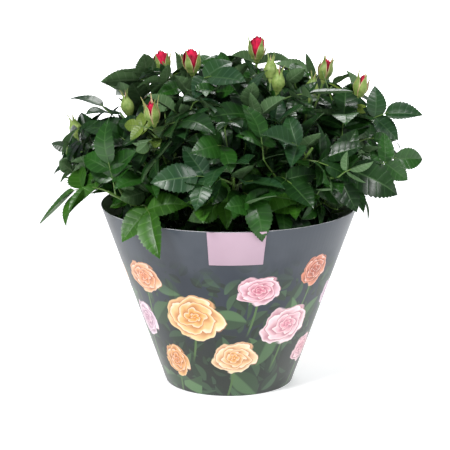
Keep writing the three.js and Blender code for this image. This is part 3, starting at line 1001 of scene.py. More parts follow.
def add_node(tree: bpy.types.NodeTree, kind: str, *inputs: Any, **settings: Any) -> bpy.types.Node:
    """Adds a node.

    Args:
        tree: The tree that it joins.
        kind: The node's type name.
        *inputs: A value, socket or node for each of its inputs in turn, or None to leave one as it is.
        **settings: The node's own properties.

    Returns:
        The node.
    """
    node = tree.nodes.new(kind)
    for name, value in settings.items():
        setattr(node, name, value)
    for socket, value in zip([socket for socket in node.inputs if socket.enabled], inputs):
        if isinstance(value, bpy.types.Node):
            value = next(output for output in value.outputs if output.enabled)
        if isinstance(value, bpy.types.NodeSocket):
            tree.links.new(value, socket)
        elif value is not None:
            socket.default_value = value
    return node


def new_material(name: str) -> tuple[bpy.types.Material, bpy.types.NodeTree]:
    """A fresh material with its empty tree."""
    material = bpy.data.materials.new(name)
    material.use_nodes = True
    material.node_tree.nodes.clear()
    return material, material.node_tree


@dataclass(frozen=True)
class Living:
    """A natural surface: a ground colour with soft patches, fine grain in its relief, and a gloss.

    Attributes:
        name: The material's name, for what it really is.
        colour: The main colour.
        patch_colour: The colour of its patches.
        patch_mm: How wide a patch is.
        grain_mm: How wide a grain of its relief is.
        relief_mm: How high the grain stands.
        roughness: How matt it is.
    """

    name: str
    colour: str
    patch_colour: str
    patch_mm: float
    grain_mm: float = 0.9
    relief_mm: float = 0.05
    roughness: float = 0.45

    def make(self) -> bpy.types.Material:
        """Builds the material."""
        material, tree = new_material(self.name)
        place = add_node(tree, "ShaderNodeTexCoord").outputs["Object"]
        patches = add_node(tree, NOISE, place, 1 / (self.patch_mm * MM), 3.0)
        share = add_node(tree, RANGE, patches, 0.35, 0.65)
        colour = add_node(tree, MIX, share, linear(self.colour), linear(self.patch_colour), data_type="RGBA")
        grain = add_node(tree, NOISE, place, 1 / (self.grain_mm * MM), 2.0)
        bump = add_node(tree, "ShaderNodeBump", 0.8, self.relief_mm * MM, None, grain)
        add_node(tree, OUTPUT, add_node(tree, SHADER, colour, 0.0, self.roughness, 1.5, 1.0, bump))
        return material


@dataclass(frozen=True)
class LeafSkin:
    """A leaf's waxy upper face or its matt underside. The mesh's own map tells where its veins run.

    Attributes:
        name: The material's name, for what it really is.
        colour: The main colour.
        patch_colour: The colour of some leaves or parts of them.
        vein_colour: The colour along the veins.
        roughness: How matt it is.
    """

    name: str
    colour: str
    patch_colour: str
    vein_colour: str
    roughness: float

    PATCH_MM, SWELL_MM, GLOSS = 26, 0.26, 1.4
    MIDRIB_SLOPE, VEIN_REACH, VEIN_STRENGTH = 3.0, 0.32, 0.6

    def make(self) -> bpy.types.Material:
        """Builds the material."""
        material, tree = new_material(self.name)
        place = add_node(tree, "ShaderNodeTexCoord").outputs["Object"]
        along, across, _ = add_node(tree, "ShaderNodeSeparateXYZ", add_node(tree, "ShaderNodeUVMap")).outputs
        rows = add_node(tree, MATH, along, Blade.ROWS / 2, operation="MULTIPLY")
        swell = add_node(tree, MATH, add_node(tree, MATH, rows, 0.5, operation="PINGPONG"), operation="SQRT")
        beside = add_node(tree, MATH, across, operation="ABSOLUTE")
        beside = add_node(tree, MATH, beside, self.MIDRIB_SLOPE, operation="MULTIPLY")
        height = add_node(tree, MATH, swell, beside, operation="MINIMUM")
        patches = add_node(tree, NOISE, place, 1 / (self.PATCH_MM * MM), 2.0)
        share = add_node(tree, RANGE, patches, 0.38, 0.62)
        colour = add_node(tree, MIX, share, linear(self.colour), linear(self.patch_colour), data_type="RGBA")
        vein = add_node(tree, RANGE, height, self.VEIN_REACH, 0.0, 0.0, self.VEIN_STRENGTH)
        colour = add_node(tree, MIX, vein, colour, linear(self.vein_colour), data_type="RGBA")
        bump = add_node(tree, "ShaderNodeBump", 1.0, self.SWELL_MM * MM, None, height)
        add_node(tree, OUTPUT, add_node(tree, SHADER, colour, 0.0, self.roughness, self.GLOSS, 1.0, bump))
        return material


# Waxy rose leaves: smooth dark faces with small sharp highlights. Each leaf has one of six tints, which sets
# it off from the next, and the youngest are yellow-green and bronze. The bluish-green tint is painted sheen:
# its colour stands in for the bluish gloss that the light lays on glossy leaves.
SKINS = {
    Tint.DEEP: LeafSkin("rose_leaf_deep_green", "#17370f", "#10290e", "#315628", 0.29),
    Tint.MIDDLE: LeafSkin("rose_leaf_green", "#234d16", "#193b10", "#40702f", 0.31),
    # Painted sheen: a bluish green that stands in for the gloss on a leaf.
    Tint.PAINTED_BLUISH_SHEEN: LeafSkin("rose_leaf_green_painted_bluish_sheen", "#22431f", "#1b3920", "#47684b", 0.33),
    Tint.BRIGHT: LeafSkin("rose_leaf_bright_green", "#336015", "#264d11", "#5b873c", 0.35),
    Tint.YOUNG: LeafSkin("rose_leaf_young_yellow_green", "#64792a", "#4f6a24", "#8a9a48", 0.4),
    Tint.BRONZE: LeafSkin("rose_leaf_young_bronze", "#5d4a24", "#5f622a", "#85683c", 0.4),
}
# Paler and matt, so that a turned-over leaf stands out among the glossy ones.
UNDERSIDE = LeafSkin("rose_leaf_pale_underside", "#557349", "#48653d", "#7d9570", 0.6)
# The numbers of a Living finish are how wide its patches and its grain are, how high the grain stands, and
# how matt it is. A lighter line runs along each leaflet's middle.
RIB = Living("rose_leaf_midrib", "#325420", "#29481a", 30)
# Young bark is smooth and fresh green.
GREEN_STEM = Living("green_rose_stem", "#5f7c38", "#4c6a2e", 22)
# Older canes are flecked with brown and finely ridged.
CANE_BARK = Living("rose_cane_bark", "#5d6d34", "#6e5b38", 9, 0.6, 0.15, 0.6)
# The stocks are dull brown and rough.
STOCK_BARK = Living("old_rose_bark", "#6b5638", "#4e3d28", 4, 0.8, 0.3, 0.85)
# Velvety petals hardly shine and have darker patches, which sets their layers apart.
PETAL = Living("crimson_rose_petal", "#e00a46", "#9c0830", 5, 0.3, 0.02, 0.8)
# Darker still: painted shade on every petal's inner face, so that the bud looks deep between its petals.
PETAL_INSIDE_PAINTED_SHADE = Living("crimson_petal_inside_painted_shade", "#9a0826", "#700617", 5, 0.9, 0.05, 0.8)
# Light green and soft beside the red.
SEPAL = Living("green_rose_sepal", "#6f8a3c", "#8fa357", 4, 0.4, 0.05, 0.5)
# Sepals that have let go of the petals are edged in a warm buff.
SEPAL_EDGE = Living("pinkish_sepal_edge", "#c9a284", "#b4a878", 4, 0.9, 0.05, 0.5)
# Damp peat is nearly black and crumbly.
PEAT = Living("moist_peat_compost", "#2a1d14", "#1a120d", 5, 1.2, 0.8, 0.95)
# Bark is a lighter brown than the peat that it lies on.
CRUMB = Living("bark_crumb", "#3d2a1b", "#5a4330", 3, 0.8, 0.3, 0.9)
# White specks that show the compost's scale.
GRIT = Living("expanded_white_grit", "#d9d6cc", "#bdb9ad", 2, 0.5, 0.3, 0.9)
# Black polypropylene from a mould: an even half gloss over a faint orange-peel grain.
POT_PLASTIC = Living("moulded_pot_plastic", "#1d1c1b", "#242220", 40, 1.6, 0.03)
# Bare grey-white board behind the print.
CARD_INSIDE = Living("unprinted_card", "#c9c8c4", "#bfbdb8", 30, 0.5, 0.02, 0.7)
# A light line where the card is cut.
CARD_EDGE = Living("cut_card_edge", "#dcdde0", "#cfd0d3", 20, 0.4, 0.03, 0.6)
# Smooth coated card in a quiet pink.
LABEL_CARD = Living("pink_label_card", "#b89dac", "#b499a8", 40, 0.5, 0.01, 0.5)


@dataclass(frozen=True)
class PrintedRose:
    """One rose of the sleeve's print.

    Attributes:
        turn: Degrees round the sleeve from the middle of the print.
        height: Millimetres above the foot.
        radius: Millimetres.
        squash: How flat it is seen: 1 for a round one.
        deep: The colour in its folds.
        heart: The colour of its heart.
        outer: The colour of its outer petals.
    """

    turn: float
    height: float
    radius: float
    squash: float
    deep: str
    heart: str
    outer: str


@dataclass(frozen=True)
class PrintedLeaves:
    """A layer of scattered leaves in the print.

    Attributes:
        size: The room of one leaf, in millimetres.
        dark: The colour of a leaf's shaded half.
        light: The colour of its lit half.
        share: The share of the rooms that hold a leaf.
        top: The height above which the layer has faded out, in millimetres.
    """

    size: float
    dark: str
    light: str
    share: float
    top: float


@dataclass(frozen=True)
class PrintedCard:
    """Laminated card with a plain print twice round it: roses over layers of leaves, and dusk above them.

    Its thin clear film gives the eye a soft sheen over dark, saturated ink.
    """

    name: str = "laminated_printed_card"
    upper: str = "#3d434c"
    middle: str = "#222b37"
    lower: str = "#1a231c"
    stem: str = "#4c6b3a"
    rim: str = "#fbf0ea"
    layers: tuple[PrintedLeaves, ...] = (
        PrintedLeaves(15, "#101c13", "#37503a", 0.9, 150),
        PrintedLeaves(24, "#15261a", "#4a6a49", 0.72, 142),
        PrintedLeaves(38, "#1d3520", "#648a5a", 0.45, 130),
    )
    roses: tuple[PrintedRose, ...] = (
        PrintedRose(-51, 124, 23, 1.45, "#963a15", "#dd742a", "#f2b98f"),
        PrintedRose(-21, 88, 29, 1.2, "#a9561f", "#eb9c38", "#f4d09b"),
        PrintedRose(16, 118, 22, 1.4, "#973a52", "#d06f86", "#eecad3"),
        PrintedRose(49, 132, 17, 1.05, "#702b1a", "#ad4830", "#dc8e70"),
        PrintedRose(38, 76, 27, 1.3, "#a04c63", "#dd8498", "#f2d8dc"),
        PrintedRose(-64, 74, 18, 1.0, "#823f5f", "#bf7d9c", "#e8d1de"),
        PrintedRose(4, 44, 22, 1.25, "#a95d28", "#e8a253", "#f5d6b0"),
        PrintedRose(-42, 36, 15, 0.9, "#8f4019", "#d97f2f", "#f0ba80"),
        PrintedRose(66, 42, 17, 1.2, "#913f55", "#d27a8e", "#eecdd3"),
        PrintedRose(77, 98, 16, 1.2, "#8c4769", "#bb80a5", "#e8d5e4"),
        PrintedRose(-81, 116, 12, 1.1, "#97421c", "#dd8d48", "#f2cda0"),
    )

    # Heights in millimetres between which one ground turns to the next, and how haze shifts them.
    GROUND, DUSK, FADE = (60.0, 130.0), (150.0, 195.0), 30
    HAZE_WIDTH, HAZE_SHIFT = 30, 60.0

    def rose_group(self) -> bpy.types.NodeTree:
        """The node group that draws one rose as a spiral of ruffled petals, on a stem.

        Returns:
            The group. Its Ring runs from the heart to the outer petals, and its Light across each petal.
        """
        tree = bpy.data.node_groups.new("printed_rose", "ShaderNodeTree")
        for name in ("Turn", "Height", "Cone Radius", "At Turn", "At Height", "Radius", "Squash"):
            tree.interface.new_socket(name, in_out="INPUT", socket_type="NodeSocketFloat")
        for name in ("Mask", "Ring", "Light", "Stem"):
            tree.interface.new_socket(name, in_out="OUTPUT", socket_type="NodeSocketFloat")
        turn, height, cone, at_turn, at_height, radius, squash = add_node(tree, "NodeGroupInput").outputs[:7]
        aside = add_node(tree, MATH, turn, at_turn, operation="SUBTRACT")
        aside = add_node(tree, MATH, aside, cone, operation="MULTIPLY")
        above = add_node(tree, MATH, height, at_height, operation="SUBTRACT")
        flat = add_node(tree, MATH, above, squash, operation="MULTIPLY")
        flat = add_node(tree, "ShaderNodeCombineXYZ", aside, flat)
        own = add_node(tree, VECTOR, flat, radius, operation="DIVIDE")
        seed = add_node(tree, "ShaderNodeCombineXYZ", 0.0, 0.0, at_height)
        ruffle = add_node(tree, VECTOR, own, seed, operation="ADD")
        ruffle = add_node(tree, NOISE, ruffle, 1.6, 2.0).outputs["Color"]
        ruffle = add_node(tree, VECTOR, ruffle, (0.5, 0.5, 0.5), operation="SUBTRACT")
        own = add_node(tree, VECTOR, ruffle, (0.5, 0.5, 0.0), own, operation="MULTIPLY_ADD")
        x, y, _ = add_node(tree, "ShaderNodeSeparateXYZ", own).outputs
        angle = add_node(tree, MATH, y, x, operation="ARCTAN2")
        far = add_node(tree, MATH, add_node(tree, VECTOR, own, operation="LENGTH"), 0.8, operation="POWER")
        rings = add_node(tree, MATH, far, 4.4, operation="MULTIPLY")
        twist = add_node(tree, MATH, rings, 1.9, operation="MULTIPLY")
        twist = add_node(tree, MATH, angle, 2.5, twist, operation="MULTIPLY_ADD")
        scallop = add_node(tree, MATH, add_node(tree, MATH, twist, operation="SINE"), operation="ABSOLUTE")
        petals = add_node(tree, MATH, scallop, -0.45, rings, operation="MULTIPLY_ADD")
        spiral = add_node(tree, MATH, angle, 0.5 / math.pi, petals, operation="MULTIPLY_ADD")
        light = add_node(tree, MATH, spiral, operation="FRACT")
        bow = add_node(tree, MATH, above, above, operation="MULTIPLY")
        bow = add_node(tree, MATH, bow, 0.003, aside, operation="MULTIPLY_ADD")
        bow = add_node(tree, MATH, bow, operation="ABSOLUTE")
        thin = add_node(tree, MATH, bow, 1.1, operation="LESS_THAN")
        below = add_node(tree, RANGE, above, -52.0, -40.0)
        stem = add_node(tree, MATH, thin, below, operation="MULTIPLY")
        under = add_node(tree, MATH, above, 0.0, operation="LESS_THAN")
        stem = add_node(tree, MATH, stem, under, operation="MULTIPLY")
        mask, ring = add_node(tree, RANGE, petals, 4.2, 4.05), add_node(tree, RANGE, petals, 0.0, 4.0)
        add_node(tree, "NodeGroupOutput", mask, ring, light, stem)
        return tree

    def leaf_group(self) -> bpy.types.NodeTree:
        """The node group that scatters pointed leaves, one in each cell, each turned its own way.

        Returns:
            The group. Its Chance is one number for each leaf.
        """
        tree = bpy.data.node_groups.new("printed_leaves", "ShaderNodeTree")
        tree.interface.new_socket("Place", in_out="INPUT", socket_type="NodeSocketVector")
        tree.interface.new_socket("Scale", in_out="INPUT", socket_type="NodeSocketFloat")
        for name in ("Mask", "Light", "Chance"):
            tree.interface.new_socket(name, in_out="OUTPUT", socket_type="NodeSocketFloat")
        place, scale = add_node(tree, "NodeGroupInput").outputs[:2]
        cells = add_node(tree, CELLS, place, scale).outputs
        turn, bright, chance = add_node(tree, "ShaderNodeSeparateXYZ", cells["Color"]).outputs
        offset = add_node(tree, VECTOR, place, cells["Position"], operation="SUBTRACT")
        offset = add_node(tree, VECTOR, offset, scale, operation="SCALE")
        level = add_node(tree, VECTOR, place, (1, 1, 0), operation="MULTIPLY")
        level = add_node(tree, VECTOR, level, operation="NORMALIZE")
        round_about = add_node(tree, VECTOR, level, (0, 0, 1), operation="CROSS_PRODUCT")
        aside = add_node(tree, VECTOR, offset, round_about, operation="DOT_PRODUCT")
        above = add_node(tree, VECTOR, offset, (0, 0, 1), operation="DOT_PRODUCT")
        flat = add_node(tree, "ShaderNodeCombineXYZ", aside, above)
        turn = add_node(tree, MATH, turn, 2 * math.pi, operation="MULTIPLY")
        flat = add_node(tree, "ShaderNodeVectorRotate", flat, None, turn, rotation_type="Z_AXIS")
        along, across, _ = add_node(tree, "ShaderNodeSeparateXYZ", flat).outputs
        edge = add_node(tree, MATH, along, along, operation="MULTIPLY")
        edge = add_node(tree, MATH, edge, -1.1, 0.3, operation="MULTIPLY_ADD")
        beside = add_node(tree, MATH, across, operation="ABSOLUTE")
        inside = add_node(tree, MATH, edge, beside, operation="SUBTRACT")
        mask = add_node(tree, RANGE, inside, 0.0, 0.04)
        half = add_node(tree, RANGE, across, -0.02, 0.02, 0.15, 0.75)
        bright = add_node(tree, RANGE, bright, 0.0, 1.0, 0.35, 1.0)
        light = add_node(tree, MATH, half, bright, operation="MULTIPLY")
        add_node(tree, "NodeGroupOutput", mask, light, chance)
        return tree

    def make(self) -> bpy.types.Material:
        """Builds the material."""
        material, tree = new_material(self.name)
        place = add_node(tree, "ShaderNodeTexCoord").outputs["Object"]
        x, y, z = add_node(tree, "ShaderNodeSeparateXYZ", place).outputs
        height = add_node(tree, MATH, z, 1 / MM, operation="MULTIPLY")
        front = add_node(tree, MATH, y, -1.0, operation="MULTIPLY")
        turn = add_node(tree, MATH, x, front, operation="ARCTAN2")
        turn = add_node(tree, MATH, turn, math.pi / 2, -math.pi / 2, operation="WRAP")
        cone = add_node(tree, MATH, height, SLEEVE_SLOPE, SLEEVE_FOOT, operation="MULTIPLY_ADD")
        haze = add_node(tree, NOISE, place, 1 / (self.HAZE_WIDTH * MM), 2.0)
        level = add_node(tree, MATH, haze, self.HAZE_SHIFT, height, operation="MULTIPLY_ADD")
        ground = add_node(tree, RANGE, level, *self.GROUND, interpolation_type="SMOOTHSTEP")
        colour = add_node(tree, MIX, ground, linear(self.lower), linear(self.middle), data_type="RGBA")
        sky = add_node(tree, RANGE, level, *self.DUSK, interpolation_type="SMOOTHSTEP")
        colour = add_node(tree, MIX, sky, colour, linear(self.upper), data_type="RGBA")
        leaf_group, rose_group = self.leaf_group(), self.rose_group()
        for layer in self.layers:
            rooms = 1 / (layer.size * MM)
            drawn = add_node(tree, "ShaderNodeGroup", place, rooms, node_tree=leaf_group).outputs
            fade = add_node(tree, RANGE, height, layer.top, layer.top - self.FADE)
            kept = add_node(tree, MATH, drawn["Chance"], layer.share, operation="LESS_THAN")
            shown = add_node(tree, MATH, fade, kept, operation="MULTIPLY")
            shown = add_node(tree, MATH, shown, drawn["Mask"], operation="MULTIPLY")
            shades = linear(layer.dark), linear(layer.light)
            green = add_node(tree, MIX, drawn["Light"], *shades, data_type="RGBA")
            colour = add_node(tree, MIX, shown, colour, green, data_type="RGBA")
        for rose in self.roses:
            own = math.radians(rose.turn), rose.height, rose.radius, rose.squash
            drawn = add_node(tree, "ShaderNodeGroup", turn, height, cone, *own, node_tree=rose_group).outputs
            colour = add_node(tree, MIX, drawn["Stem"], colour, linear(self.stem), data_type="RGBA")
            shades = linear(rose.heart), linear(rose.outer)
            petal = add_node(tree, MIX, drawn["Ring"], *shades, data_type="RGBA")
            lit = add_node(tree, RANGE, drawn["Light"], 0.0, 0.6, 0.25, 1.0)
            petal = add_node(tree, MIX, lit, linear(rose.deep), petal, data_type="RGBA")
            rim = add_node(tree, RANGE, drawn["Light"], 0.7, 0.98, 0.0, 0.55)
            petal = add_node(tree, MIX, rim, petal, linear(self.rim), data_type="RGBA")
            colour = add_node(tree, MIX, drawn["Mask"], colour, petal, data_type="RGBA")
        shader = add_node(tree, SHADER, colour, 0.0, 0.4, 1.45, 1.0)
        shader.inputs["Coat Weight"].default_value = 0.25
        shader.inputs["Coat Roughness"].default_value = 0.15
        add_node(tree, OUTPUT, shader)
        return material


@dataclass(frozen=True)
class GlowingFloor:
    """A matt white floor that glows a little, as a lit table does, so that it stays white to its end."""

    name: str = "softly_lit_white_floor"
    colour: str = "#f6f6f6"
    glow: float = 0.36

    def make(self) -> bpy.types.Material:
        """Builds the material."""
        material, tree = new_material(self.name)
        shader = add_node(tree, SHADER, linear(self.colour), 0.0, 0.9)
        shader.inputs["Emission Color"].default_value = linear(self.colour)
        shader.inputs["Emission Strength"].default_value = self.glow
        add_node(tree, OUTPUT, shader)
        return material


# ---- the container


def finished(
    piece: bpy.types.Object,
    name: str,
    materials: Iterable[bpy.types.Material],
    nodes: Iterable[str],
) -> None:
    """Names a piece, dresses it, and has it ride and stand for its nodes.

    Args:
        piece: The modelled object.
        name: The piece's name.
        materials: Its materials, or none where it has them already.
        nodes: The nodes that it replaces.
    """
    piece.name = piece.data.name = name
    for material in materials:
        piece.data.materials.append(material)
    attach(piece, BODY)
    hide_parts(*nodes)
    triangles = sum(len(face.vertices) - 2 for face in piece.data.polygons)
    LOG.info("%s: %d triangles", name, triangles)


def apply_modifier(piece: bpy.types.Object, kind: str, **settings: Any) -> None:
    """Adds a modifier to an object and applies it.

    Args:
        piece: The object.
        kind: The modifier's type name.
        **settings: The modifier's own properties.
    """
    select_only(piece)
    modifier = piece.modifiers.new(kind.lower(), kind)
    for name, value in settings.items():
        setattr(modifier, name, value)
    bpy.ops.object.modifier_apply(modifier=modifier.name)


def round_edges(piece: bpy.types.Object, width: float, sharper_than: float) -> None:
    """Rounds the edges that turn by more than an angle in degrees, by a width in millimetres."""
    limit = math.radians(sharper_than)
    apply_modifier(piece, "BEVEL", width=width * MM, segments=2, limit_method="ANGLE", angle_limit=limit)


def open_all() -> None:
    """Opens the active object in edit mode, with all of it selected."""
    bpy.ops.object.mode_set(mode="EDIT")
    bpy.ops.mesh.select_all(action="SELECT")


def apply_place(piece: bpy.types.Object) -> None:
    """Moves an object's place into its mesh."""
    select_only(piece)
    bpy.ops.object.transform_apply(location=True, rotation=True, scale=True)


@dataclass
class Sleeve:
    """The tapered card sleeve with its glued seam and its label, in millimetres."""

    sides: int = 160
    seam_width: float = 15
    seam_inset: float = 0.6
    seam_back: float = 0.02
    seam_face: float = 0.4
    label_width: float = 57
    label_height: float = 35
    label_thickness: float = 0.6
    label_stand_off: float = 0.45
    label_centre: float = 7

    WALL_CUTS, PLATE_CUTS, ROUNDING, PLATE_ROUNDING, SHARP_FROM = 3, 23, 0.2, 0.18, 50

    def build(self) -> None:
        """Makes the sleeve, its seam and its label."""
        printed = PrintedCard().make()
        self.wall(printed)
        self.seam(printed)
        self.label()

    def wall(self, printed: bpy.types.Material) -> None:
        """The card wall: an open cone that is given its thickness.

        Args:
            printed: The printed card.
        """
        bpy.ops.object.select_all(action="DESELECT")
        bpy.ops.mesh.primitive_cone_add(
            vertices=self.sides, radius1=SLEEVE_FOOT * MM, radius2=SLEEVE_RIM * MM,
            depth=SLEEVE_HEIGHT * MM, end_fill_type="NOTHING", location=(0, 0, SLEEVE_HEIGHT / 2 * MM),
        )
        piece = bpy.context.object
        open_all()
        bpy.ops.mesh.subdivide(number_cuts=self.WALL_CUTS)
        bpy.ops.object.mode_set(mode="OBJECT")
        apply_place(piece)
        for material in (printed, CARD_INSIDE.make(), CARD_EDGE.make()):
            piece.data.materials.append(material)
        apply_modifier(
            piece, "SOLIDIFY", thickness=SLEEVE_WALL * MM, offset=-1, use_even_offset=True,
            material_offset=1, material_offset_rim=2,
        )
        round_edges(piece, self.ROUNDING, self.SHARP_FROM)
        smooth(piece, 40)
        finished(piece, "sleeve_wall", [], ["sleeve"])

    def on_cone(self, angle: float, height: float, out: float) -> Vector:
        """The place at a turn from the front, a height and a distance out from the sleeve's face."""
        radius = SLEEVE_FOOT + SLEEVE_SLOPE * height + out
        return Vector((radius * math.sin(angle), -radius * math.cos(angle), height)) * MM

    def wrapped_plate(
        self, width: float, low: float, high: float, angle: float, inner: float, outer: float
    ) -> bpy.types.Object:
        """A plate with rounded corners that follows the sleeve.

        Args:
            width: Its width at the rim.
            low: Its lower edge.
            high: Its upper edge.
            angle: Its middle's turn from the front.
            inner: How far out its back lies.
            outer: How far out its face lies.

        Returns:
            The plate.
        """
        bpy.ops.object.select_all(action="DESELECT")
        bpy.ops.mesh.primitive_cube_add(size=1)
        piece = bpy.context.object
        open_all()
        bpy.ops.mesh.subdivide(number_cuts=self.PLATE_CUTS)
        bpy.ops.object.mode_set(mode="OBJECT")
        across = width / SLEEVE_RIM
        for corner in piece.data.vertices:
            x, y, z = corner.co
            height = mixed(low, high, z + 0.5)
            corner.co = self.on_cone(angle + x * across, height, mixed(outer, inner, y + 0.5))
        apply_modifier(piece, "DECIMATE", decimate_type="DISSOLVE", angle_limit=math.radians(0.4))
        round_edges(piece, self.PLATE_ROUNDING, self.SHARP_FROM)
        smooth(piece, 30)
        return piece

    def seam(self, printed: bpy.types.Material) -> None:
        """The glued flap up the sleeve's back.

        Args:
            printed: The printed card.
        """
        low, high = self.seam_inset, SLEEVE_HEIGHT - self.seam_inset
        piece = self.wrapped_plate(self.seam_width, low, high, math.pi, self.seam_back, self.seam_face)
        finished(piece, "sleeve_seam", [printed], [])

    def label(self) -> None:
        """The bare label whose upper edge is level with the rim."""
        turn = math.asin(self.label_centre / SLEEVE_RIM)
        low = SLEEVE_HEIGHT - self.label_height
        outer = self.label_stand_off + self.label_thickness
        piece = self.wrapped_plate(self.label_width, low, SLEEVE_HEIGHT, turn, self.label_stand_off, outer)
        finished(piece, "label_card", [LABEL_CARD.make()], ["label"])


@dataclass
class Pot:
    """The moulded nursery pot and the compost in it, in millimetres."""

    foot: float = 62.7
    shoulder: float = 81
    rim: float = 85
    height: float = 126
    rim_height: float = 14
    wall: float = 1.6
    floor: float = 2.5
    crumbs: int = 420
    compost_side: float = 12
    seed: int = 5

    SIDES, LUMP_RINGS, LUMPS, GRIT_SHARE = 96, 9, (-1.6, 0.6), 0.12

    def build(self) -> None:
        """Makes the pot, the compost and its crumbs."""
        self.shell()
        self.compost()
        self.scatter()

    def shell(self) -> None:
        """The pot, drawn up ring by ring from its foot, over its rim and down inside."""
        shoulder = self.height - self.rim_height
        rings = [
            (self.foot, 0), (self.shoulder, shoulder), (self.rim, shoulder), (self.rim, self.height),
            (self.rim - self.wall, self.height), (self.rim - self.wall - 1, shoulder + 2),
            (self.shoulder - self.wall, shoulder), (self.foot - self.wall, self.floor),
        ]
        bpy.ops.object.select_all(action="DESELECT")
        bpy.ops.mesh.primitive_circle_add(vertices=self.SIDES, radius=rings[0][0] * MM, fill_type="NGON")
        piece = bpy.context.object
        open_all()
        for (radius, height), (next_radius, next_height) in zip(rings, rings[1:]):
            step = (0, 0, (next_height - height) * MM)
            bpy.ops.mesh.extrude_region_move(TRANSFORM_OT_translate={"value": step})
            grow = next_radius / radius
            bpy.ops.transform.resize(value=(grow, grow, 1), center_override=(0, 0, next_height * MM))
        bpy.ops.mesh.select_all(action="SELECT")
        bpy.ops.mesh.normals_make_consistent(inside=False)
        bpy.ops.object.mode_set(mode="OBJECT")
        round_edges(piece, 0.5, 35)
        smooth(piece, 30)
        finished(piece, "nursery_pot", [POT_PLASTIC.make()], ["pot"])

    def compost(self) -> None:
        """The compost's lumpy top and its side."""
        radius = self.shoulder - self.wall - CLEARANCE
        bpy.ops.object.select_all(action="DESELECT")
        bpy.ops.mesh.primitive_circle_add(
            vertices=self.SIDES, radius=radius * MM, fill_type="NGON", location=(0, 0, SOIL_LEVEL * MM)
        )
        piece = bpy.context.object
        open_all()
        for _ in range(self.LUMP_RINGS):
            bpy.ops.mesh.inset(thickness=radius / (self.LUMP_RINGS + 2) * MM)
        bpy.ops.mesh.select_all(action="SELECT")
        bpy.ops.object.mode_set(mode="OBJECT")
        apply_place(piece)
        random = np.random.default_rng(self.seed)
        for corner in piece.data.vertices:
            if math.hypot(corner.co.x, corner.co.y) < (radius - 1) * MM:
                corner.co.z += random.uniform(*self.LUMPS) * MM
        select_only(piece)
        open_all()
        bpy.ops.mesh.extrude_region_move(TRANSFORM_OT_translate={"value": (0, 0, 0)})
        bpy.ops.transform.translate(value=(0, 0, -self.compost_side * MM))
        bottom = (0, 0, (SOIL_LEVEL - self.compost_side) * MM)
        bpy.ops.transform.resize(value=(0.975, 0.975, 0), center_override=bottom)
        bpy.ops.mesh.select_all(action="SELECT")
        bpy.ops.mesh.normals_make_consistent(inside=False)
        bpy.ops.object.mode_set(mode="OBJECT")
        smooth(piece, 60)
        finished(piece, "compost_bed", [PEAT.make()], ["soil"])

    def scatter(self) -> None:
        """Bark crumbs and white grit strewn over the compost, as one mesh."""
        random = np.random.default_rng(self.seed + 1)
        bpy.ops.object.select_all(action="DESELECT")
        bpy.ops.mesh.primitive_ico_sphere_add(subdivisions=1, radius=1)
        start = bpy.context.object
        points = np.array([corner.co[:] for corner in start.data.vertices])
        loops = np.array([index for face in start.data.polygons for index in face.vertices])
        faces = len(start.data.polygons)
        bpy.data.objects.remove(start)
        gathered = Gathered()
        reach = self.shoulder - self.wall - 4
        for _ in range(self.crumbs):
            far, turn = reach * math.sqrt(random.random()), random.uniform(0, WHOLE_TURN)
            size = random.uniform(0.8, 2.6, 3) * (1, 1, 0.6)
            own = points * size * random.uniform(0.75, 1.2, (len(points), 1))
            level = SOIL_LEVEL + random.uniform(-0.4, 0.5)
            at = np.array([far * math.cos(turn), far * math.sin(turn), level])
            slot = int(random.random() < self.GRIT_SHARE)
            gathered.add(Shape(own + at, loops, np.full(faces, 3), np.full(faces, slot)))
        piece = gathered.piece("compost_crumbs", [CRUMB.make(), GRIT.make()], 30)
        finished(piece, "compost_crumbs", [], [])


# ---- the plant's limbs


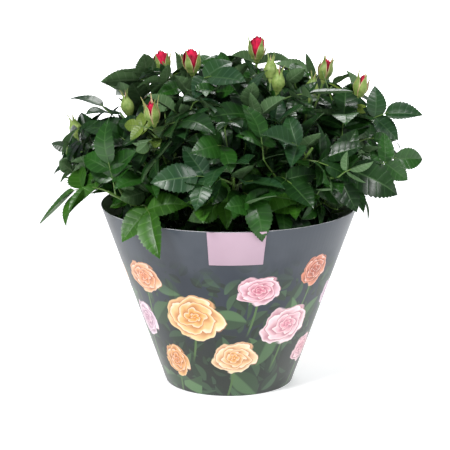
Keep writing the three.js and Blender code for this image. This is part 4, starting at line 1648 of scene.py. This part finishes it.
@dataclass
class Limbs:
    """The stocks, the canes, the stems that run on from them, the twigs and the leaf stalks."""

    crown: Crown
    cane_foot: float = 2.0
    cane_end: float = 1.7
    stem_tip: float = 1.15
    node_swell: float = 0.35
    roughness: float = 0.05
    seed: int = 3

    STOCK_RINGS, STOCK_SIDES, STOCK_RIDGES, STOCK_SUNK = 9, 20, 5, 1.5
    CANE_RINGS, CANE_SIDES, WOODY_SHARE = 40, 10, 0.8
    BUD_TWIG_RINGS, BUD_TWIG_SIDES, BUD_TWIG_RADIUS = 14, 8, 1.0
    TWIG_RINGS, TWIG_SIDES, TWIG_RADII = 12, 6, (1.05, 0.75)
    NODES, NODE_LENGTH = np.linspace(0.36, 0.96, 5), 0.012
    PRICKLES, PRICKLE_REACH = np.arange(0.06, 0.8, 0.055), (1.6, 2.6)
    PRICKLE_RADII = np.array([0.75, 0.35, 0.06])
    STALK_PLACES, STALK_RADII = (0, 0.25, 0.5, 1), np.array([0.95, 0.7, 0.62, 0.5])

    def build(self) -> None:
        """Makes every limb."""
        self.stocks()
        self.canes()
        self.stalks()

    def stocks(self) -> None:
        """The woody stumps that the canes spring from."""
        random = np.random.default_rng(self.seed)
        gathered = Gathered()
        names = sorted({shoot.stock for shoot in SHOOTS})
        for name in names:
            at = np.array([*(mean_tip(name) * STOCK_REACH), SOIL_LEVEL + CLEARANCE - self.STOCK_SUNK])
            rise = np.linspace(0, 1, self.STOCK_RINGS)
            path = at + np.outer(rise * (STOCK_HEIGHT + self.STOCK_SUNK), UP)
            radii = STOCK_NECK + (STOCK_FLARE - STOCK_NECK) * (1 - rise) ** 3 + 1.4 * rise**4
            angles = np.arange(self.STOCK_SIDES) * 2 * math.pi / self.STOCK_SIDES
            ridges = self.roughness * np.sin(angles * self.STOCK_RIDGES + random.uniform(0, 6))
            grid = (self.STOCK_RINGS, self.STOCK_SIDES)
            relief = ridges[None, :] + random.uniform(-self.roughness, self.roughness, grid)
            gathered.add(tube(path, radii, self.STOCK_SIDES, 0, relief))
        piece = gathered.piece("stocks", [STOCK_BARK.make()], 50)
        finished(piece, "woody_stocks", [], [f"stock_{name}" for name in names])

    def canes(self) -> None:
        """The canes with their stems, swollen where a leaf springs and set with prickles."""
        random = np.random.default_rng(self.seed + 1)
        gathered = Gathered()
        for shoot in SHOOTS:
            curve = self.crown.curves[shoot.name]
            shares = np.linspace(0, 1, self.CANE_RINGS)
            path = np.array([curve.point(share) for share in shares])
            radii = np.interp(shares, [0, MASS_STARTS, 1], [self.cane_foot, self.cane_end, self.stem_tip])
            for node in self.NODES:
                radii = radii + self.node_swell * np.exp(-(((shares - node) / self.NODE_LENGTH) ** 2))
            grid = (self.CANE_RINGS, self.CANE_SIDES)
            relief = random.uniform(-self.roughness, self.roughness, grid)
            cane = tube(path, radii, self.CANE_SIDES, 0, relief)
            woody = np.repeat(shares[:-1] < MASS_STARTS * self.WOODY_SHARE, self.CANE_SIDES)
            cane.slots[: len(woody)] = np.where(woody, 1, 0)
            gathered.add(cane)
            for share in self.PRICKLES:
                turn, reach = random.uniform(0, WHOLE_TURN), random.uniform(*self.PRICKLE_REACH)
                gathered.add(self.prickle(curve, share, turn, reach))
            if shoot.side_bud:
                path = side_twig(shoot, curve).samples(0, 1, self.BUD_TWIG_RINGS)
                radii = np.full(self.BUD_TWIG_RINGS, self.BUD_TWIG_RADIUS)
                gathered.add(tube(path, radii, self.BUD_TWIG_SIDES))
        radii = np.linspace(*self.TWIG_RADII, self.TWIG_RINGS)
        for twig in self.crown.twigs:
            gathered.add(tube(twig.samples(0, 1, self.TWIG_RINGS), radii, self.TWIG_SIDES))
        piece = gathered.piece("canes", [GREEN_STEM.make(), CANE_BARK.make()], 50)
        nodes = [f"{kind}_{shoot.name}" for shoot in SHOOTS for kind in ("cane", "foliage")]
        finished(piece, "canes_and_stems", [], nodes)

    def prickle(self, curve: Bezier, share: float, turn: float, reach: float) -> Shape:
        """A small hooked prickle on a cane.

        Args:
            curve: The cane's curve.
            share: The prickle's place on it.
            turn: Its turn round the cane.
            reach: How far it stands out, in millimetres.

        Returns:
            The prickle's shape.
        """
        at, way = curve.point(share), curve.tangent(share)
        out = turned(unit(np.cross(way, [0.3, 0.9, 0.1])), way, turn)
        middle, tip = at + out * (1.2 + reach * 0.6) - way * 0.2, at + out * (1.2 + reach) - way * 0.9
        return tube(np.array([at + out, middle, tip]), self.PRICKLE_RADII, 4)

    def stalks(self) -> None:
        """Every leaf's stalk."""
        gathered = Gathered()
        for leaves in self.crown.leaves.values():
            for leaf in leaves:
                path = np.array([leaf.stalk.point(share) for share in self.STALK_PLACES])
                gathered.add(tube(path, self.STALK_RADII, 5))
        piece = gathered.piece("stalks", [GREEN_STEM.make()], 50)
        finished(piece, "leaf_stalks", [], [])


# ---- the leaves


@dataclass(frozen=True)
class Blade:
    """One way that a leaflet's blade folds and bends.

    Attributes:
        fold: How steeply the halves rise from the midrib.
        droop: How far the tip falls, as a share of the length.
        sway: How far the tip swings sideways, as a share of the length.
        plumpness: The width, as a share of a common leaflet's.
    """

    fold: float
    droop: float
    sway: float
    plumpness: float

    ROWS = 12
    UPPER = np.array([-1.0, -0.52, -0.03, 0.03, 0.52, 1.0])
    UNDER = np.array([-0.94, -0.52, 0.0, 0.52, 0.94])
    SWEEP, QUILT, GROOVE, THICKNESS = 0.12, 0.006, 0.008, 0.012
    TOOTH, TOOTH_AT, TOOTH_MAP = 0.034, 0.74, 1.1
    RISE, FALL, BLUNT, CURLED_FROM = 0.6, 1.0, 0.004, 0.2

    def half_width(self, along: np.ndarray) -> np.ndarray:
        """The outline: how far the edge lies from the midrib.

        Args:
            along: Shares of the blade's length.

        Returns:
            For each, the distance as a share of the length.
        """
        rise, fall = self.RISE, self.FALL
        peak = (rise / (rise + fall)) ** rise * (fall / (rise + fall)) ** fall
        left = np.clip(1 + self.BLUNT - along, self.BLUNT / 2, 1)
        shape = np.clip(along, self.BLUNT, 1) ** rise * left**fall / peak
        return shape * FORM.width_share / 2 * self.plumpness

    def bent(self, along: np.ndarray, aside: np.ndarray, lift: np.ndarray) -> np.ndarray:
        """Folds and bends flat blade corners into their place.

        Args:
            along: How far along the blade each lies.
            aside: How far aside.
            lift: How far up.

        Returns:
            The corners.
        """
        fall = self.droop * np.maximum(0, along - self.CURLED_FROM) ** 2
        rise = self.fold * np.abs(aside) * (1 - 0.9 * np.abs(aside)) + lift - fall
        return np.stack([along - 0.3 * fall, aside + self.sway * along**2, rise], axis=-1)

    def corners(self, columns: np.ndarray, depth: float) -> np.ndarray:
        """The rows of corners of one face. Side veins sweep forward, and the blade swells between them.

        Args:
            columns: How far aside each column lies, as a share of the half width.
            depth: How far the face lies under the upper one.

        Returns:
            The corners, row by row.
        """
        rows = np.arange(self.ROWS + 1)[:, None]
        share = rows / self.ROWS
        arch = np.sin(math.pi * share)
        along = share + self.SWEEP * np.abs(columns) * arch
        swell = self.QUILT * np.where(rows % 2 == 0, -1, 1) * arch * (1 - 2 * np.abs(np.abs(columns) - 0.5))
        lift = swell - self.GROOVE * (np.abs(columns) < 0.1) - depth * (1 - 0.7 * columns**2)
        return self.bent(along, columns * self.half_width(along), lift)

    def shape(self) -> Shape:
        """The blade at unit length.

        Returns:
            Its shape: X along it, Y across and Z up.
        """
        share = (np.arange(self.ROWS)[:, None] + self.TOOTH_AT) / self.ROWS
        arch = np.sin(math.pi * share)
        along = share + self.SWEEP * arch
        aside = np.array([-1, 1]) * (self.half_width(along) + self.TOOTH * arch)
        teeth = self.bent(np.repeat(along, 2, axis=1), aside, np.full_like(aside, -0.2 * self.THICKNESS))
        faces = [self.corners(self.UPPER, 0), self.corners(self.UNDER, self.THICKNESS), teeth]
        rows = np.arange(self.ROWS + 1) / self.ROWS
        sides = (self.UPPER, self.UNDER)
        maps = [np.stack(np.meshgrid(rows, columns, indexing="ij"), axis=2) for columns in sides]
        across = np.tile([-self.TOOTH_MAP, self.TOOTH_MAP], (self.ROWS, 1))
        maps.append(np.stack([np.repeat(share, 2, axis=1), across], axis=2))
        points = np.concatenate([face.reshape(-1, 3) for face in faces])
        return Shape(points, *self.faces(), np.concatenate([flat.reshape(-1, 2) for flat in maps]))

    def faces(self) -> tuple[np.ndarray, np.ndarray, np.ndarray]:
        """The blade's faces.

        Returns:
            Their corners, their sizes and their slots: upper face 0, underside 1, midrib 2.
        """
        wide, narrow = len(self.UPPER), len(self.UNDER)
        under = (self.ROWS + 1) * wide
        teeth = under + (self.ROWS + 1) * narrow
        faces: list[tuple[list[int], int]] = []
        for row in range(self.ROWS):
            here, there = row * wide, (row + 1) * wide
            below, ahead = under + row * narrow, under + (row + 1) * narrow
            for c in range(wide - 1):
                faces.append(([here + c, there + c, there + c + 1, here + c + 1], 2 if c == 2 else 0))
            for c in range(narrow - 1):
                faces.append(([below + c, below + c + 1, ahead + c + 1, ahead + c], 1))
            left, right = teeth + row * 2, teeth + row * 2 + 1
            faces += [([here, left, there], 0), ([below, ahead, left], 1)]
            faces += [([left, here, below], 0), ([there, left, ahead], 0)]
            here, there = here + wide - 1, there + wide - 1
            below, ahead = below + narrow - 1, ahead + narrow - 1
            faces += [([here, there, right], 0), ([below, right, ahead], 1)]
            faces += [([below, here, right], 0), ([ahead, right, there], 0)]
        last, end = self.ROWS * wide, under + self.ROWS * narrow
        faces.append(([*range(wide), *range(under + narrow - 1, under - 1, -1)], 1))
        faces.append(([*range(end, end + narrow), *range(last + wide - 1, last - 1, -1)], 1))
        loops = np.array([index for corners, _ in faces for index in corners])
        sizes = np.array([len(corners) for corners, _ in faces])
        return loops, sizes, np.array([slot for _, slot in faces])


@dataclass
class Foliage:
    """The leaves of the whole bush, a piece for each tint.

    Attributes:
        crown: The grown crown.
        seed: The seed of the tints and of the leaflets' small differences.
        turned_over: The share of the small leaves that show their undersides.
        blades: The ways that the blades fold and bend.
    """

    crown: Crown
    seed: int = 17
    turned_over: float = 0.09
    blades: tuple[Blade, ...] = (
        Blade(0.26, 0.16, 0.03, 0.92),
        Blade(0.46, 0.32, -0.05, 0.84),
        Blade(0.16, 0.4, 0.06, 0.98),
        Blade(0.7, 0.16, -0.03, 0.8),
        Blade(0.08, 0.5, -0.06, 0.94),
        Blade(0.36, -0.06, 0.04, 0.88),
    )

    # Leaves under this height count as low. The shares of each tint are told by where they end.
    LOW_BELOW = 222
    LOW_TINTS = ((0.45, Tint.BRIGHT), (0.8, Tint.MIDDLE), (1.0, Tint.PAINTED_BLUISH_SHEEN))
    HIGH_TINTS = ((0.5, Tint.DEEP), (0.74, Tint.MIDDLE), (1.0, Tint.PAINTED_BLUISH_SHEEN))
    SMALL_BELOW, OVER_TURN = 0.8, math.pi * 0.85
    ROLL, SWING, GROWTH = 0.35, 0.14, 0.06

    def build(self) -> None:
        """Deals out the tints and makes the pieces."""
        self.deal_tints()
        self.pieces()

    def deal_tints(self) -> None:
        """Gives each leaf that has none a tint: brighter low down, deeper in the crown."""
        random = Seeded(self.seed)
        for shoot in SHOOTS:
            for leaf in self.crown.leaves[shoot.name]:
                if leaf.tint is not None:
                    continue
                low = leaf.leaflets[-1].at[2] < self.LOW_BELOW
                draw = random.next()
                tints = self.LOW_TINTS if low else self.HIGH_TINTS
                leaf.tint = next(tint for end, tint in tints if draw < end)

    def pieces(self) -> None:
        """Sets a blade on every leaflet, each a little different."""
        random = Seeded(self.seed + 1)
        shapes = [blade.shape() for blade in self.blades]
        gathered = {tint: Gathered() for tint in Tint}
        for leaves in self.crown.leaves.values():
            for leaf in leaves:
                small = leaf.leaflets[-1].length < self.SMALL_BELOW * FORM.end_leaflet
                over = self.OVER_TURN if random.next() < self.turned_over and small else 0.0
                for leaflet in leaf.leaflets:
                    shape = shapes[int(random.next() * len(shapes))]
                    face = turned(leaflet.face, leaflet.direction, over + random.around(self.ROLL))
                    side = np.cross(face, leaflet.direction)
                    way = turned(leaflet.direction, side, random.around(self.SWING))
                    face = unit(face - way * (face @ way))
                    length = leaflet.length * (1 + random.around(self.GROWTH))
                    axes = np.array([way, np.cross(face, way), face]) * length
                    gathered[leaf.tint].add(placed_shape(shape, leaflet.at, axes))
        underside, rib = UNDERSIDE.make(), RIB.make()
        for tint, leaves in gathered.items():
            if leaves.shapes:
                name = f"leaves_{tint.value}"
                piece = leaves.piece(name, [SKINS[tint].make(), underside, rib], 60)
                finished(piece, name, [], [])


# ---- the buds


@dataclass(frozen=True)
class BudForm:
    """How a bud of one kind is dressed.

    Attributes:
        petals: How many petals show.
        fullness: How wide its top is: 0 for a closed one, 1 for an open one.
        flare: How far the petals' upper edges stand off, as a share of the radius.
        cover: The share of the bud's height that the sepals hug.
        taper: How late a sepal narrows.
        tail: How far the sepals' tips run on, in millimetres.
        splay: How far the tips stand off.
    """

    petals: int
    fullness: float
    flare: float
    cover: float
    taper: float
    tail: float
    splay: float


BUD_FORMS = {
    Bloom.OPEN: BudForm(9, 0.42, 0.1, 0.5, 0.95, 12, 4.2),
    Bloom.HALF: BudForm(7, 0.16, 0.04, 0.7, 1.8, 12, 3.4),
    Bloom.CLOSED: BudForm(4, 0.0, 0.0, 0.9, 5.0, 9, 2.2),
}


@dataclass
class Buds:
    """All flower buds: crimson petals wound round each other, held in green sepals on a small hip.

    Attributes:
        crown: The grown crown.
        seed: The seed of the buds' small differences.
        stoutness: Their radius, as a share of the solid buds'.
        shortness: Their length, as a share of the solid buds'.
        gap_turn: The turn that brings a gap between two sepals to the front, in radians.
    """

    crown: Crown
    seed: int = 23
    stoutness: float = 1.04
    shortness: float = 0.8
    gap_turn: float = math.radians(90)

    HIP_HEIGHTS, HIP_RADII, HIP_OF = (-6.5, -5, -3, -1, 1.5), np.array([1.1, 2.0, 3.0, 3.4, 2.8]), 7.5
    PETAL_TURN, PETAL_GRID, PETAL_THICKNESS = math.radians(137.5), (9, 9), 0.25
    SEPALS, SEPAL_ROWS, SEPAL_ACROSS, SEPAL_THICKNESS = 5, 12, (-1, -0.8, 0, 0.8, 1), 0.45
    SEPAL_FOOT, SEPAL_REACH, SEPAL_OFF = -1.2, 0.66, 0.6

    def build(self) -> None:
        """Makes the petals and the sepals of every bud, each kind as one piece."""
        random = Seeded(self.seed)
        petals, sepals = Gathered(), Gathered()
        for shoot in SHOOTS:
            for carrier, kind in buds_of(shoot, self.crown.curves[shoot.name]):
                axes = axes_along(carrier.tangent(1), self.gap_turn + random.around(0.35))
                for shape in self.petal_shapes(kind, random):
                    petals.add(placed_shape(shape, carrier.point(1), axes))
                for shape in self.sepal_shapes(kind, random):
                    sepals.add(placed_shape(shape, carrier.point(1), axes))
        # The second petal finish paints shade on the petals' inner faces.
        piece = petals.piece("rose_petals", [PETAL.make(), PETAL_INSIDE_PAINTED_SHADE.make()], 60)
        finished(piece, "rose_petals", [], [])
        piece = sepals.piece("rose_sepals", [SEPAL.make(), SEPAL_EDGE.make()], 60)
        finished(piece, "rose_sepals", [], [])

    def profile(self, share: np.ndarray, fullness: float) -> np.ndarray:
        """A bud's radius at a share of its height, as a share of its greatest.

        Args:
            share: Shares of its height.
            fullness: How wide its top is: 0 for a closed one, 1 for an open one.

        Returns:
            For each, a share of the greatest radius.
        """
        heights = [-0.05, 0, 0.12, 0.26, 0.42, 0.6, 0.78, 0.92, 1]
        closed = np.array([0, 0.5, 0.76, 0.94, 1, 0.88, 0.62, 0.36, 0.12])
        full = np.array([0, 0.5, 0.74, 0.9, 0.98, 1, 0.93, 0.74, 0.5])
        return np.interp(share, heights, mixed(closed, full, fullness))

    def size_of(self, kind: Bloom) -> tuple[float, float]:
        """The length and the greatest radius of a bud of one kind."""
        return BUDS[kind].length * self.shortness, BUDS[kind].radius * self.stoutness

    def petal_shapes(self, kind: Bloom, random: Seeded) -> list[Shape]:
        """The petals of a bud, at the origin.

        Args:
            kind: How far it has opened.
            random: The numbers that make its petals differ.

        Returns:
            Their shapes, from the inner ones outwards.
        """
        form, (length, width) = BUD_FORMS[kind], self.size_of(kind)
        rows, columns = (np.linspace(low, 1, count) for low, count in zip((0, -1), self.PETAL_GRID))
        shapes = []
        for i in range(form.petals):
            outer = i / (form.petals - 1)
            rise, side = np.meshgrid(rows, columns, indexing="ij")
            top = mixed(1.0, 0.84, outer) + random.around(0.03)
            height = rise * (top - 0.12 * side**2 * rise)
            angle = i * self.PETAL_TURN + side * mixed(1.0, 1.3, outer) * (1 - 0.2 * rise**4)
            radius = self.profile(height, form.fullness) * mixed(0.3, 0.94, outer) * (1 + 0.08 * side)
            radius = np.clip(radius + form.flare * outer * rise**5, 0.05, 1.1) * width
            grid = np.stack([radius * np.cos(angle), radius * np.sin(angle), height * length], axis=2)
            shapes.append(sheet(grid, self.PETAL_THICKNESS, (0, 1)))
        return shapes

    def sepal_shapes(self, kind: Bloom, random: Seeded) -> list[Shape]:
        """The hip and the five sepals of a bud, at the origin. The sepals meet at the hip.

        Args:
            kind: How far it has opened.
            random: The numbers that make its sepals differ.

        Returns:
            Their shapes.
        """
        form, (length, width) = BUD_FORMS[kind], self.size_of(kind)
        hip = np.array([[0, 0, height] for height in self.HIP_HEIGHTS])
        shapes = [tube(hip, self.HIP_RADII * width / self.HIP_OF, 10)]
        rows, strips = np.linspace(0, 1, self.SEPAL_ROWS), len(self.SEPAL_ACROSS) - 1
        for i in range(self.SEPALS):
            rise, side = np.meshgrid(rows, self.SEPAL_ACROSS, indexing="ij")
            cover = form.cover * (1 + random.around(0.06))
            height = self.SEPAL_FOOT + rise * (cover * length + form.tail)
            loose = np.clip((height - cover * length) / form.tail, 0, 1)
            narrow = (1 - rise**form.taper) * (1 - 0.92 * np.minimum(1, 1.7 * loose))
            narrow = narrow + 0.1 * (1 - 0.6 * rise)
            angle = i * 2 * math.pi / self.SEPALS + side * self.SEPAL_REACH * narrow + random.around(0.08)
            radius = self.profile(np.clip(height / length, 0, cover), form.fullness) * width * 1.04
            radius = radius + self.SEPAL_OFF + 0.3 * (i % 2)
            radius = radius + loose**1.4 * form.splay * (1 + random.around(0.6))
            grid = np.stack([radius * np.cos(angle), radius * np.sin(angle), height], axis=2)
            shape = sheet(grid, self.SEPAL_THICKNESS, (0, 1))
            if kind is not Bloom.CLOSED:
                outer_face = shape.slots[: (self.SEPAL_ROWS - 1) * strips].reshape(-1, strips)
                outer_face[:, [0, strips - 1]] = 1
            shapes.append(shape)
        return shapes


# ---- the studio


@dataclass
class Studio:
    """A white floor, soft light and the camera, in metres and degrees."""

    eye: tuple[float, float, float] = (-0.0042, -2.0, 0.638)
    target: tuple[float, float, float] = (-0.0042, 0.0, 0.1587)
    field_of_view: float = 12.51
    floor_size: float = 30
    floor_drop: float = 0.0004
    surround: str = "#ecf6ff"
    surround_strength: float = 0.25

    def build(self) -> None:
        """Sets up the floor, the light and the camera."""
        bpy.ops.object.select_all(action="DESELECT")
        bpy.ops.mesh.primitive_plane_add(size=self.floor_size, location=(0, 0, -self.floor_drop))
        floor = bpy.context.object
        floor.name = "floor"
        floor.data.materials.append(GlowingFloor().make())
        world = bpy.data.worlds.new("soft_white_surround")
        world.use_nodes = True
        background = world.node_tree.nodes["Background"]
        background.inputs["Color"].default_value = linear(self.surround)
        background.inputs["Strength"].default_value = self.surround_strength
        bpy.context.scene.world = world
        bpy.context.scene.view_settings.view_transform = "Standard"
        self.lamp("key_light", (-1.2, -1.6, 2.2), 0.7, 74)
        self.lamp("fill_light", (1.8, -1.5, 1.6), 0.7, 32)
        self.lamp("back_light", (0.5, 1.8, 2.0), 1.2, 30)
        self.lamp("backdrop_light", (0, 2.2, 1.5), 2.0, 70, (0, 3.6, 0))
        self.camera()

    def lamp(
        self, name: str, place: tuple[float, float, float], size: float, power: float,
        aim: tuple[float, float, float] = (0, 0, 0.2),
    ) -> None:
        """Adds a soft square light.

        Args:
            name: Its name.
            place: Where it stands.
            size: Its width.
            power: Its power in watts.
            aim: What it shines on. The bush if it isn't told.
        """
        data = bpy.data.lights.new(name, "AREA")
        data.size, data.energy = size, power
        lamp = bpy.data.objects.new(name, data)
        lamp.location = place
        lamp.rotation_euler = (Vector(aim) - Vector(place)).to_track_quat("-Z", "Y").to_euler()
        bpy.context.scene.collection.objects.link(lamp)

    def camera(self) -> None:
        """Adds the camera."""
        data = bpy.data.cameras.new("camera")
        data.sensor_fit = "HORIZONTAL"
        data.sensor_width = 36
        data.lens = 18 / math.tan(math.radians(self.field_of_view) / 2)
        data.clip_end = 50
        camera = bpy.data.objects.new("camera", data)
        camera.location = self.eye
        camera.rotation_euler = (Vector(self.target) - Vector(self.eye)).to_track_quat("-Z", "Y").to_euler()
        bpy.context.scene.collection.objects.link(camera)
        bpy.context.scene.camera = camera


def main() -> None:
    """Builds the studio and the bush from its container up, and reports each piece."""
    logging.basicConfig(level=logging.INFO, format="%(name)s %(message)s")
    Studio().build()
    Sleeve().build()
    Pot().build()
    crown = Crown(shoot_curves())
    crown.grow_main()
    LOG.info("main leaves: %d", crown.count())
    crown.grow_fine()
    LOG.info("all leaves: %d, twigs: %d", crown.count(), len(crown.twigs))
    Limbs(crown).build()
    Foliage(crown).build()
    Buds(crown).build()


if __name__ == "__main__":
    main()
